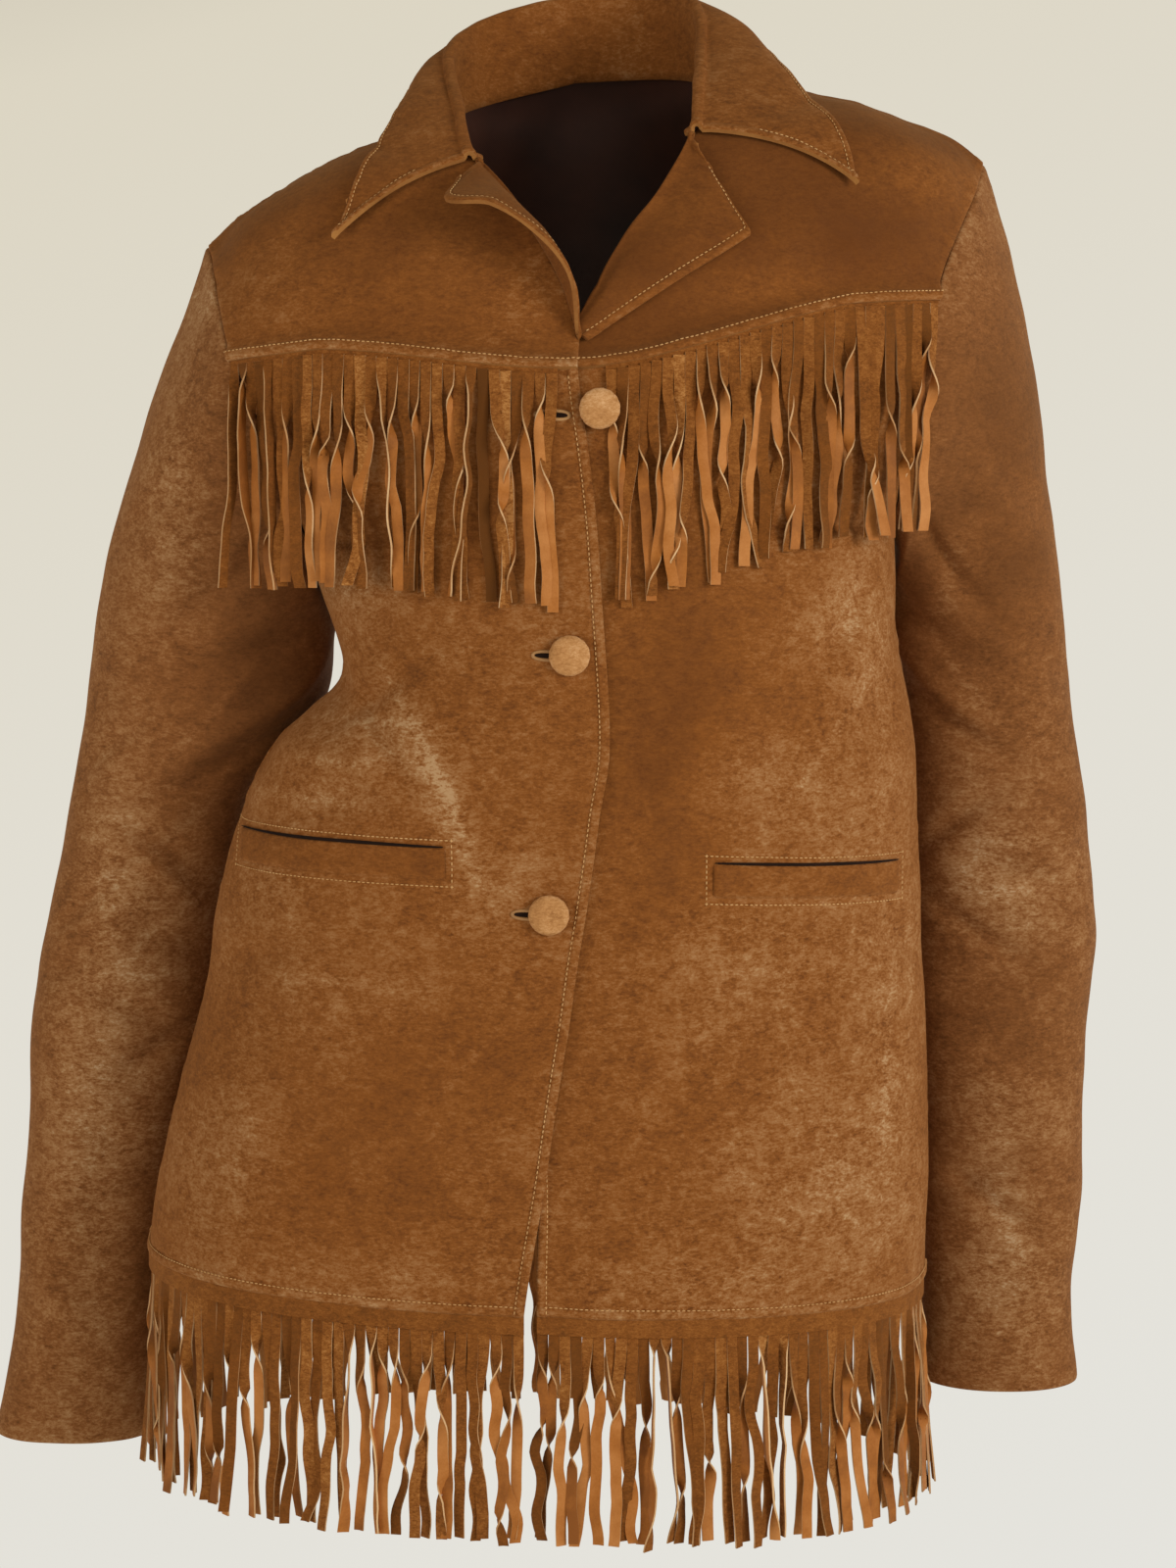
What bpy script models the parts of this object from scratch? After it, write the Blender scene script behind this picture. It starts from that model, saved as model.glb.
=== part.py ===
"""Worn western suede jacket with fringed yokes and hem, drawn as hollow cloth shells.

Units are metres, +Z is up and the front faces -Y.  The origin lies between the
shoulders at the base of the neck, where a wearer holds the jacket up.
"""
import math
import bpy
import numpy as np

WALL = 0.0016             # suede wall of the body panels
SLEEVE_WALL = 0.0015
SEAM_GAP = 0.0003         # space left between two pieces at a seam
SLEEVE_GAP = 0.0011       # the sleeve head stands off the armhole's straight facets
LAYER = 0.0010            # space between a piece and the panel it lies on
CURVE_POWER = 2.3         # squareness of the body sections
SIDE_LINE_Y = -0.014      # depth at which the body is widest
HEM_HEIGHT = -0.6305
YOKE_HEIGHT = -0.1535     # front yoke seam at the centre
YOKE_RISE = 0.0235        # its step up to the armhole side
YOKE_RISE_WIDTH = 0.155
BACK_YOKE_HEIGHT = -0.146
UNDERARM_HEIGHT = -0.240
FRINGE_LENGTH = 0.119
FRINGE_THICK = 0.0016
BUTTON_RADIUS = 0.01015   # a 32 ligne covered button
BUTTON_RISE = 0.0052
RIGHT_COLLAR_STEEP = 0.013 # the right side of the collar stands closer to the neck
OVERLAP_DROP = 0.0029     # how far the under front lies behind the upper one

# body sections: height, half width, front depth, back depth
BODY_SECTIONS = [
    (-0.780, 0.214, 0.131, 0.118),
    (-0.635, 0.212, 0.130, 0.116),
    (-0.555, 0.205, 0.128, 0.111),
    (-0.490, 0.195, 0.126, 0.105),
    (-0.443, 0.190, 0.125, 0.101),
    (-0.379, 0.179, 0.124, 0.098),
    (-0.344, 0.169, 0.124, 0.097),
    (-0.300, 0.160, 0.123, 0.099),
    (-0.257, 0.156, 0.120, 0.104),
    (-0.228, 0.159, 0.117, 0.109),
    (-0.200, 0.174, 0.114, 0.112),
    (-0.165, 0.195, 0.109, 0.113),
    (-0.132, 0.204, 0.103, 0.112),
    (-0.080, 0.208, 0.094, 0.108),
]
# stance: height, sideways sway, sideways slope
STANCE = [
    (-0.780, -0.036, -0.039),
    (-0.635, -0.034, -0.039),
    (-0.555, -0.0257, -0.039),
    (-0.490, -0.0180, -0.042),
    (-0.443, -0.0157, -0.045),
    (-0.379, -0.0075, -0.043),
    (-0.344, 0.0000, -0.030),
    (-0.300, 0.0020, -0.008),
    (-0.240, 0.0010, 0.030),
    (-0.130, -0.0080, 0.087),
    (-0.063, -0.0020, 0.105),
    (-0.010, -0.0100, 0.130),
    (0.060, -0.0160, 0.190),
]
# front edges: height, edge of the upper (right) front, edge of the under (left) front
FRONT_EDGES = [
    (-0.640, -0.0050, 0.0030),
    (-0.566, -0.0008, -0.0045),
    (-0.500, 0.0010, -0.0170),
    (-0.430, 0.0070, -0.0290),
    (-0.373, 0.0070, -0.0320),
    (-0.315, 0.0025, -0.0350),
    (-0.265, -0.0010, -0.0250),
    (-0.195, -0.0025, -0.0140),
    (-0.150, -0.0040, -0.0110),
    (-0.136, -0.0020, -0.0080),
]
# armhole round the left shoulder: angle from the tip over the front, x, y, z
ARMHOLE = [
    (0, 0.2075, 0.000, -0.063),
    (30, 0.2000, -0.030, -0.082),
    (60, 0.1900, -0.055, -0.106),
    (90, 0.1810, -0.071, -0.132),
    (115, 0.1700, -0.076, -0.165),
    (140, 0.1600, -0.068, -0.200),
    (160, 0.1560, -0.045, -0.228),
    (180, 0.1555, -0.012, -0.240),
    (200, 0.1565, 0.025, -0.230),
    (220, 0.1600, 0.050, -0.205),
    (245, 0.1680, 0.066, -0.168),
    (270, 0.1780, 0.068, -0.132),
    (300, 0.1900, 0.050, -0.100),
    (330, 0.2010, 0.025, -0.075),
    (360, 0.2075, 0.000, -0.063),
]
# shoulder seam from the neck to the tip: x, y, z
SHOULDER = [
    (0.0750, 0.005, -0.010),
    (0.1050, 0.004, -0.0145),
    (0.1380, 0.002, -0.0235),
    (0.1650, 0.001, -0.0350),
    (0.1900, 0.000, -0.0480),
    (0.2075, 0.000, -0.0630),
]
# front neck edge from the closing point up to the shoulder seam: share, x, y, z
NECK_EDGE = [
    (0.00, 0.0000, -0.1100, -0.1360),
    (0.22, 0.0125, -0.1010, -0.0985),
    (0.42, 0.0310, -0.0885, -0.0705),
    (0.62, 0.0530, -0.0700, -0.0390),
    (0.82, 0.0690, -0.0320, -0.0190),
    (1.00, 0.0750, 0.0050, -0.0100),
]
# collar stations from the gorge to the middle of the back:
# share, seam x y z, fold x y z, outer edge x y z
COLLAR = [
    (0.00, 0.0480, -0.0695, -0.0385, 0.0545, -0.0745, -0.0385, 0.1335, -0.0860, -0.0735),
    (0.18, 0.0600, -0.0480, -0.0260, 0.0600, -0.0520, -0.0180, 0.1230, -0.0560, -0.0420),
    (0.36, 0.0690, -0.0230, -0.0150, 0.0650, -0.0210, 0.0035, 0.1090, -0.0220, -0.0100),
    (0.55, 0.0710, 0.0120, -0.0040, 0.0660, 0.0200, 0.0330, 0.0960, 0.0250, 0.0070),
    (0.75, 0.0500, 0.0540, 0.0080, 0.0450, 0.0600, 0.0510, 0.0650, 0.0830, 0.0090),
    (1.00, 0.0000, 0.0740, 0.0160, 0.0000, 0.0760, 0.0560, 0.0000, 0.1070, 0.0050),
]
# sleeve sections in place: height, outer x, inner x, middle depth, half depth
SLEEVE_RIGHT = [
    (-0.290, -0.2770, -0.1520, 0.028, 0.060),
    (-0.330, -0.2840, -0.1600, 0.036, 0.056),
    (-0.377, -0.2935, -0.1890, 0.043, 0.052),
    (-0.404, -0.2985, -0.1960, 0.044, 0.050),
    (-0.448, -0.3080, -0.2060, 0.044, 0.048),
    (-0.504, -0.3185, -0.2120, 0.041, 0.046),
    (-0.560, -0.3210, -0.2260, 0.041, 0.043),
    (-0.610, -0.3250, -0.2380, 0.040, 0.040),
    (-0.651, -0.3272, -0.2420, 0.038, 0.038),
    (-0.700, -0.3330, -0.2470, 0.035, 0.035),
    (-0.744, -0.3418, -0.2510, 0.032, 0.033),
]
SLEEVE_LEFT = [
    (-0.290, 0.2570, 0.1610, 0.034, 0.056),
    (-0.330, 0.2626, 0.1645, 0.040, 0.053),
    (-0.390, 0.2720, 0.1680, 0.044, 0.051),
    (-0.454, 0.2800, 0.1700, 0.046, 0.049),
    (-0.484, 0.2782, 0.1720, 0.045, 0.047),
    (-0.513, 0.2752, 0.1740, 0.044, 0.045),
    (-0.560, 0.2732, 0.1775, 0.042, 0.042),
    (-0.600, 0.2745, 0.1800, 0.040, 0.040),
    (-0.660, 0.2670, 0.1820, 0.032, 0.036),
    (-0.713, 0.2712, 0.1815, 0.030, 0.034),
]
# turned lapels in place: share up the roll line, outer edge x y z
LAPEL_RIGHT_EDGE = [
    (0.00, -0.0118, -0.1135, -0.1400),
    (0.25, -0.0150, -0.1235, -0.1150),
    (0.50, -0.0300, -0.1290, -0.0955),
    (0.80, -0.0560, -0.1240, -0.0790),
    (0.93, -0.0782, -0.1120, -0.0745),
    (1.00, -0.0700, -0.0905, -0.0590),
]
# share up the roll line, outer edge x z on the yoke
LAPEL_LEFT_EDGE = [
    (0.00, -0.0020, -0.1390),
    (0.20, 0.0130, -0.1275),
    (0.50, 0.0430, -0.1080),
    (0.85, 0.0765, -0.0870),
    (1.00, 0.0550, -0.0520),
]
# pocket welts: outer end x, inner end x, outer top z, inner top z, height
WELT_RIGHT = (-0.1880, -0.0775, -0.3905, -0.3925, 0.0165)
WELT_LEFT = (0.1550, 0.0570, -0.4055, -0.4005, 0.0175)
# covered buttons: name, x, height, space for what lies under it
BUTTONS = [
    ("button_top", 0.0000, -0.1745, 0.0051),
    ("button_middle", -0.0150, -0.2963, 0.0007),
    ("button_lower", -0.0254, -0.4258, 0.0007),
]
# the folded-in waist at the right side: depth, height, reach up, reach down
WAIST_FOLD = (0.023, -0.316, 0.060, 0.030)
# soft creases of the body: side (+1 left, -1 right), angle, height, lean, length, width, depth
CREASES = [
    (-1, 60, -0.330, 0.35, 0.100, 0.016, -0.0045),
    (-1, 52, -0.352, 0.10, 0.110, 0.015, 0.0040),
    (-1, 48, -0.382, -0.30, 0.090, 0.016, -0.0030),
    (1, 62, -0.315, 0.45, 0.110, 0.020, -0.0035),
    (1, 56, -0.350, 0.10, 0.090, 0.018, 0.0025),
    (-1, 128, -0.325, 0.20, 0.120, 0.018, -0.0040),
    (1, 128, -0.335, -0.15, 0.120, 0.018, -0.0040),
    (1, 150, -0.300, 0.35, 0.100, 0.016, 0.0030),
]
# elbow and underarm creases of the sleeves: side, height, angle, lean, length, width, depth
SLEEVE_CREASES = [
    (-1, -0.300, 120, 0.5, 0.060, 0.011, -0.0050),
    (-1, -0.395, 75, -0.5, 0.060, 0.010, -0.0040),
    (-1, -0.470, 60, 0.4, 0.060, 0.010, -0.0035),
    (-1, -0.455, 110, -0.3, 0.050, 0.010, -0.0035),
    (1, -0.290, 125, 0.6, 0.060, 0.011, -0.0050),
    (1, -0.430, 70, 0.4, 0.055, 0.010, -0.0040),
    (1, -0.480, 95, -0.4, 0.055, 0.010, -0.0040),
    (1, -0.400, 250, 0.4, 0.060, 0.011, -0.0040),
]


NECK_SHARE = 0.32         # share of the back yoke taken by each shoulder seam
FRONT_COLUMNS = [0.0, 0.06, 0.14, 0.24, 0.35, 0.46, 0.57, 0.68, 0.78, 0.87, 0.94, 1.0]
BACK_COLUMNS = [0.0, 0.05, 0.11, 0.18, 0.25, 0.32, 0.38, 0.44, 0.5, 0.56, 0.62, 0.68, 0.75, 0.82, 0.89, 0.95, 1.0]
BODY_LEVELS = [0.0, 0.16, 0.32, 0.47, 0.58, 0.67, 0.74, 0.81, 0.88, 1.0, 1.25, 1.5, 1.75, 2.0]


def smooth(value):
    value = min(max(value, 0.0), 1.0)
    return value * value * (3.0 - 2.0 * value)


def along(table, key):
    """Values of a table at a key, with smooth slopes through its rows."""
    rows = sorted(table)
    keys = [row[0] for row in rows]
    key = min(max(key, keys[0]), keys[-1])
    last = len(rows) - 2
    index = 0
    while index < last and key > keys[index + 1]:
        index += 1
    low = max(index - 1, 0)
    high = min(index + 2, len(rows) - 1)
    start = np.array(rows[index][1:], dtype=float)
    end = np.array(rows[index + 1][1:], dtype=float)
    before = np.array(rows[low][1:], dtype=float)
    after = np.array(rows[high][1:], dtype=float)
    span = keys[index + 1] - keys[index]
    slope_start = (end - before) / max(keys[index + 1] - keys[low], 1e-9)
    slope_end = (after - start) / max(keys[high] - keys[index], 1e-9)
    t = (key - keys[index]) / span
    h00 = 2 * t ** 3 - 3 * t ** 2 + 1
    h10 = t ** 3 - 2 * t ** 2 + t
    h01 = -2 * t ** 3 + 3 * t ** 2
    h11 = t ** 3 - t ** 2
    return h00 * start + h10 * span * slope_start + h01 * end + h11 * span * slope_end


def signed_power(value, power):
    return math.copysign(abs(value) ** power, value)


def pose(point):
    """Move a point of the even, upright form into the wearer's stance."""
    sway, slope = along(STANCE, point[2])
    return np.array([point[0] + sway, point[1], point[2] + point[0] * slope])


def body_depth(x, height):
    """Depth of the front of the upright body at a place."""
    half_width, front, _ = along(BODY_SECTIONS, height)
    share = min(abs(x) / half_width, 1.0)
    return SIDE_LINE_Y - front * (1.0 - share ** CURVE_POWER) ** (1.0 / CURVE_POWER)


def upright(x, z):
    """Sideways place and height on the upright form of a place in the stance."""
    height = z
    for _ in range(5):
        sway, slope = along(STANCE, height)
        height = z - (x - sway) * slope
    return x - along(STANCE, height)[0], height


def placed_depth(x, z):
    """Depth of the body front at a place in the stance, creases counted."""
    level_x, height = upright(x, z)
    angle = angle_at(level_x, height)
    swell = max(crease_depth(angle, height), 0.0)
    return body_depth(level_x, height) - swell


def crease_depth(angle, height):
    """Outward move of the soft waist creases at a place of the body."""
    move = 0.0
    for side, middle, crease_height, lean, length, width, depth in CREASES:
        run = math.radians(angle - side * middle) * 0.15 * side
        if abs(run) > length:
            continue
        off = (height - crease_height) - lean * run
        fade = math.cos(run / length * math.pi / 2) ** 2
        move += depth * fade * math.exp(-(off / width) ** 2)
    return move


def waist_fold(angle, height):
    """Inward move of the folded right waist."""
    depth, middle, reach_up, reach_down = WAIST_FOLD
    off = height - middle
    reach = reach_up if off > 0 else reach_down
    fade = max(math.cos(math.radians(angle + 97)), 0.0) ** 2.2
    return depth * fade * math.exp(-(off / reach * 1.35) ** 2)


def body_point(angle, height, out=0.0):
    """Point of the upright body; angle 0 is the front, 90 the left side."""
    half_width, front, back = along(BODY_SECTIONS, height)
    turn = math.radians(angle)
    power = 2.0 / CURVE_POWER
    across = signed_power(math.sin(turn), power)
    ahead = signed_power(math.cos(turn), power)
    depth = front if ahead > 0 else back
    out = out + crease_depth((angle + 180) % 360 - 180, height)
    out = out - waist_fold(angle, height)
    return np.array([
        half_width * across + out * math.sin(turn),
        SIDE_LINE_Y - depth * ahead - out * math.cos(turn),
        height,
    ])


def angle_at(x, height):
    half_width = along(BODY_SECTIONS, height)[0]
    share = min(abs(x) / half_width, 1.0)
    return math.copysign(math.degrees(math.asin(share ** (CURVE_POWER / 2.0))), x)


def armhole_point(angle):
    return along(ARMHOLE, angle)


def armhole_front_angle(height):
    """Armhole angle between the corner of the front yoke and the underarm."""
    rows = [(row[3], row[0]) for row in ARMHOLE if 90 <= row[0] <= 180]
    return float(along(rows, height)[0])


def armhole_back_angle(height):
    rows = [(row[3], row[0]) for row in ARMHOLE if 180 <= row[0] <= 270]
    return float(along(rows, height)[0])


def yoke_height(x):
    return YOKE_HEIGHT + YOKE_RISE * smooth(abs(x) / YOKE_RISE_WIDTH)


def front_rows(side, edge_column, share, height, drop):
    """Front panel point: share 0 at the front edge, 1 at the side seam or armhole."""
    edge = along(FRONT_EDGES, height)[edge_column]
    start = angle_at(edge, height)
    if height <= UNDERARM_HEIGHT:
        end = 90.0
        goal = None
    else:
        hole = armhole_point(armhole_front_angle(height))
        end = angle_at(hole[0], height)
        goal = hole
    angle = start + (side * end - start) * share
    upper_edge = along(FRONT_EDGES, height)[0]
    point = body_point(angle, height)
    inset = drop * (1.0 - smooth((point[0] - upper_edge - 0.004) / 0.035))
    point = body_point(angle, height, -inset)
    if goal is not None:
        plain = body_point(side * end, height)
        shift = np.array([side * goal[0], goal[1], goal[2]]) - plain
        point = point + shift * share ** 3
    return point


def front_panel(side, edge_column, drop):
    """Body front from the hem to the yoke seam, as rows of points."""
    grid = []
    for level in BODY_LEVELS:
        row = []
        for share in FRONT_COLUMNS:
            if level <= 1.0:
                height = HEM_HEIGHT + (UNDERARM_HEIGHT - HEM_HEIGHT) * level
            else:
                guess = front_rows(side, edge_column, share, YOKE_HEIGHT, drop)
                top = yoke_height(guess[0])
                top = min(top, ARMHOLE[3][3])
                height = UNDERARM_HEIGHT + (top - UNDERARM_HEIGHT) * (level - 1.0)
            row.append(pose(front_rows(side, edge_column, share, height, drop)))
        grid.append(row)
    return np.array(grid)


def back_point(share, height):
    """Back panel point: share 0 at the left side, 1 at the right side."""
    if height <= UNDERARM_HEIGHT:
        return body_point(90.0 + 180.0 * share, height)
    hole = armhole_point(armhole_back_angle(height))
    half_width, _, back = along(BODY_SECTIONS, height)
    across = min(abs(hole[0]) / half_width, 1.0)
    end = 180.0 - math.degrees(math.asin(across ** (CURVE_POWER / 2.0)))
    angle = end + (360.0 - 2.0 * end) * share
    point = body_point(angle, height)
    for weight, mirror in ((1.0 - share, 1.0), (share, -1.0)):
        plain = body_point(end if mirror > 0 else 360.0 - end, height)
        goal = np.array([mirror * hole[0], hole[1], hole[2]])
        point = point + (goal - plain) * weight ** 3
    return point


def back_panel():
    grid = []
    for level in BODY_LEVELS:
        row = []
        for share in BACK_COLUMNS:
            if level <= 1.0:
                height = HEM_HEIGHT + (UNDERARM_HEIGHT - HEM_HEIGHT) * level
            else:
                top = back_yoke_height(share)
                height = UNDERARM_HEIGHT + (top - UNDERARM_HEIGHT) * (level - 1.0)
            row.append(pose(back_point(share, height)))
        grid.append(row)
    return np.array(grid)


def back_yoke_height(share):
    rise = smooth((abs(share - 0.5) * 2.0) / 0.85)
    return BACK_YOKE_HEIGHT + (ARMHOLE[3][3] - BACK_YOKE_HEIGHT) * rise


def coons(bottom, top, left, right, s, t):
    """Surface point between four edge curves that meet at their ends."""
    ruled_t = (1 - t) * bottom(s) + t * top(s)
    ruled_s = (1 - s) * left(t) + s * right(t)
    corner = (1 - s) * (1 - t) * bottom(0) + s * (1 - t) * bottom(1)
    corner = corner + (1 - s) * t * top(0) + s * t * top(1)
    return ruled_t + ruled_s - corner


def shoulder_point(share):
    rows = [(index / (len(SHOULDER) - 1),) + row for index, row in enumerate(SHOULDER)]
    return along(rows, share)


def front_yoke_point(side, edge_column, s, t, drop):
    """Front yoke: s from the neck edge to the armhole, t from the seam to the shoulder."""
    mirror = np.array([side, 1.0, 1.0])

    def bottom(share):
        guess = front_rows(side, edge_column, share, YOKE_HEIGHT, drop)
        height = min(yoke_height(guess[0]), ARMHOLE[3][3])
        return front_rows(side, edge_column, share, height, drop)

    def left(share):
        lowest = bottom(0)
        if share < 0.09:
            closing = along(NECK_EDGE, 0.0) * mirror
            closing = closing + np.array([along(FRONT_EDGES, -0.136)[edge_column], drop, 0.0])
            return lowest + (closing - lowest) * (share / 0.09)
        up = (share - 0.09) / 0.91
        point = along(NECK_EDGE, up) * mirror
        fade = max(1.0 - up / 0.12, 0.0)
        shift = np.array([along(FRONT_EDGES, -0.136)[edge_column], drop, 0.0])
        return point + shift * fade

    def right(share):
        return armhole_point(90.0 - 90.0 * share) * mirror

    def top(share):
        return shoulder_point(share) * mirror

    point = coons(bottom, top, left, right, s, t)
    bulge = 0.0075 * math.sin(math.pi * s) * math.sin(math.pi * t)
    return point + np.array([0.0, -0.75 * bulge, 0.6 * bulge])


def front_yoke(side, edge_column, drop):
    down = [0.0, 0.09, 0.22, 0.36, 0.5, 0.64, 0.82, 1.0]
    grid = []
    for t in down:
        grid.append([pose(front_yoke_point(side, edge_column, share, t, drop)) for share in FRONT_COLUMNS])
    return np.array(grid)


def back_yoke_point(share, t):
    """Back yoke: share from the left armhole to the right one, t from the seam up."""

    def bottom(value):
        return back_point(value, back_yoke_height(value))

    def top(value):
        if value < NECK_SHARE:
            return shoulder_point(1.0 - value / NECK_SHARE)
        if value > 1.0 - NECK_SHARE:
            return shoulder_point((value - 1.0 + NECK_SHARE) / NECK_SHARE) * np.array([-1.0, 1.0, 1.0])
        turn = (value - 0.5) / (0.5 - NECK_SHARE)
        bend = math.sqrt(max(1.0 - turn * turn, 0.0))
        return np.array([-0.075 * turn, 0.005 + 0.073 * bend, -0.010 + 0.026 * bend])

    def left(value):
        return armhole_point(270.0 + 90.0 * value)

    def right(value):
        return armhole_point(270.0 + 90.0 * value) * np.array([-1.0, 1.0, 1.0])

    point = coons(bottom, top, left, right, share, t)
    bulge = 0.016 * math.sin(math.pi * t) * math.sin(math.pi * share) ** 0.7
    return point + np.array([0.0, 0.8 * bulge, 0.5 * bulge])


def back_yoke():
    grid = []
    for row_index in range(9):
        t = row_index / 8.0
        grid.append([pose(back_yoke_point(share, t)) for share in BACK_COLUMNS])
    return np.array(grid)


def sleeve_point(side, sections, angle, down):
    """Sleeve point: down 0 at the armhole, 1 at the first section, then on to the cuff."""
    heights = [row[0] for row in sections]
    turn = math.radians(angle)

    def ring(height):
        outer, inner, middle, half_depth = along(sections, height)
        half = abs(outer - inner) / 2.0
        centre = (outer + inner) / 2.0
        round_x = signed_power(math.cos(turn), 0.92)
        round_y = signed_power(math.sin(turn), 0.92)
        return np.array([centre + side * half * round_x, middle - half_depth * round_y, height])

    if down <= 1.0:
        start = pose(armhole_point(angle) * np.array([side, 1.0, 1.0]))
        end = ring(heights[0])
        outward = 0.5 + 0.5 * math.cos(turn)
        start = start + np.array([side * 0.0012, 0.0, -0.0006]) * (1.0 - outward) ** 2
        start = start + np.array([side * 0.0007, 0.0, 0.0]) * outward ** 2
        reach = np.linalg.norm(end - start)
        leave = np.array([side * (0.62 - 0.27 * outward), -0.10 * math.sin(turn), -0.92])
        leave = leave * reach
        arrive = (ring(heights[0] - 0.02) - ring(heights[0])) / 0.02 * reach
        t = down
        h00 = 2 * t ** 3 - 3 * t ** 2 + 1
        h10 = t ** 3 - 2 * t ** 2 + t
        h01 = -2 * t ** 3 + 3 * t ** 2
        h11 = t ** 3 - t ** 2
        return h00 * start + h10 * leave + h01 * end + h11 * arrive
    height = heights[0] + (heights[-1] - heights[0]) * (down - 1.0)
    point = ring(height)
    move = 0.0
    for crease_side, crease_height, middle, lean, length, width, depth in SLEEVE_CREASES:
        if crease_side != side:
            continue
        gap = (angle - middle + 180.0) % 360.0 - 180.0
        run = math.radians(gap) * 0.05
        if abs(run) > length:
            continue
        off = (height - crease_height) - lean * run
        move += depth * math.cos(run / length * math.pi / 2) ** 2 * math.exp(-(off / width) ** 2)
    return point + np.array([side * math.cos(turn), -math.sin(turn), 0.0]) * move


def sleeve(side, sections):
    downs = [0.0, 0.14, 0.34, 0.56, 0.78, 1.0]
    downs += [1.0 + (index + 1) / 12.0 for index in range(12)]
    around = 16
    grid = []
    for down in downs:
        grid.append([sleeve_point(side, sections, 360.0 * index / around, down) for index in range(around)])
    return np.array(grid)


def collar_grid():
    """Folded collar: stand, rolled fold and fall, all the way round the neck."""
    panels = [dense_yoke(1.0, 1, OVERLAP_DROP), dense_yoke(-1.0, 0, 0.0)]
    under = np.concatenate([panel.reshape(-1, 3) for panel in panels])
    normals = np.concatenate([outward_normals(panel).reshape(-1, 3) for panel in panels])
    stations = [index / 8.0 for index in range(9)]
    shares = [(1.0, share) for share in stations] + [(-1.0, share) for share in reversed(stations[:-1])]
    grid = []
    for mirror, share in shares:
        row = along(COLLAR, share)
        seam, fold, edge = row[0:3], row[3:6], row[6:9]
        if mirror < 0:
            steep = RIGHT_COLLAR_STEEP * math.sin(math.pi * min(share / 0.8, 1.0))
            edge = edge + np.array([-steep, 0.0, 0.4 * steep])
        if share == 1.0:
            away = np.array([0.0, 1.0, 0.0])
        else:
            away = np.array([edge[0] - fold[0], edge[1] - fold[1], 0.0])
            away = away / np.linalg.norm(away)
        lift = np.array([0.0, 0.0, 1.0])
        roll = 0.0032
        inner = fold - away * roll
        outer = fold + away * roll
        arc = [
            inner,
            fold - away * roll * 0.7 + lift * roll * 0.75,
            fold + lift * roll * 1.05,
            fold + away * roll * 0.75 + lift * roll * 0.7,
        ]
        line = [seam * (1 - k) + inner * k for k in (0.0, 0.5)] + arc
        for k in (0.0, 0.25, 0.5, 0.75, 1.0):
            bend = 0.0065 * math.sin(math.pi * k) ** 0.8
            point = outer * (1 - k) + edge * k
            line.append(point + away * bend * 0.6 + lift * bend * 0.8)
        flip = np.array([mirror, 1.0, 1.0])
        placed = [pose(point * flip) for point in line[:6]]
        for point in line[6:]:
            placed.append(lay_over(pose(point * flip), under, normals, 0.0045))
        grid.append(placed)
    return np.array(grid)


def resample(grid, point_x, point_z):
    """Depth of a panel at a place seen from the front."""
    flat = grid.reshape(-1, 3)
    gaps = (flat[:, 0] - point_x) ** 2 + (flat[:, 2] - point_z) ** 2
    near = np.argsort(gaps)[:4]
    weights = 1.0 / (gaps[near] + 1e-8)
    return float((flat[near, 1] * weights).sum() / weights.sum())


def lay_over(point, under, normals, clearance):
    """Move a point out until it lies clear of the panel under it."""
    gaps = ((under - point) ** 2).sum(axis=1)
    nearest = int(np.argmin(gaps))
    rise = float(np.dot(point - under[nearest], normals[nearest]))
    if gaps[nearest] > 0.03 ** 2 or rise >= clearance:
        return point
    return point + normals[nearest] * (clearance - rise)


def dense_yoke(side, edge_column, drop):
    count = 28
    grid = []
    for row in range(count + 1):
        grid.append([
            pose(front_yoke_point(side, edge_column, column / count, row / count, drop))
            for column in range(count + 1)
        ])
    return np.array(grid)


def lapel_left_grid():
    """Flat lapel: laid on the left yoke from its roll line to its outer edge."""
    yoke = dense_yoke(1.0, 1, OVERLAP_DROP)
    grid = []
    for row in range(9):
        share = row / 8.0
        t = 0.17 + 0.47 * share
        root = pose(front_yoke_point(1.0, 1, 0.0, t, OVERLAP_DROP))
        edge = along(LAPEL_LEFT_EDGE, share)
        line = []
        for column in range(6):
            k = column / 5.0
            x = root[0] + (edge[0] - root[0]) * k
            z = root[2] + (edge[1] - root[2]) * k
            depth = min(resample(yoke, x, z), root[1] + 0.02)
            lift = 0.0027 + 0.0022 * math.sin(math.pi * k) + 0.0003 * k
            y = (root[1] * (1 - smooth(k * 4)) + depth * smooth(k * 4)) - lift
            line.append([x, y, z])
        grid.append(line)
    return np.array(grid)


def lapel_right_grid():
    """Standing lapel: springs forward from the roll line, its tip curled over."""
    grid = []
    for row in range(11):
        share = row / 10.0
        t = 0.09 + 0.91 * 0.60 * share
        root = pose(front_yoke_point(-1.0, 0, 0.0, t, 0.0))
        root = root + np.array([0.0002, -0.0030, 0.0])
        edge = along(LAPEL_RIGHT_EDGE, share)
        line = []
        for column in range(6):
            k = column / 5.0
            point = root * (1 - k) + edge * k
            bow = math.sin(math.pi * k) * min(0.0045, 0.14 * float(np.linalg.norm(edge - root)))
            line.append(point + np.array([0.7 * bow, -0.5 * bow, 0.5 * bow]))
        grid.append(line)
    return np.array(grid)


def welt_grid(values, side):
    outer_x, inner_x, outer_top, inner_top, tall = values
    grid = []
    for row in range(3):
        line = []
        for column in range(8):
            k = column / 7.0
            x = inner_x + (outer_x - inner_x) * k
            z = inner_top + (outer_top - inner_top) * k - tall * row / 2.0
            level_x, height = upright(x, z)
            rise = 0.0020 + LAYER + 0.0008 * k * k
            line.append(pose(body_point(angle_at(level_x, height), height, rise)))
        grid.append(line)
    return np.array(grid)


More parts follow.
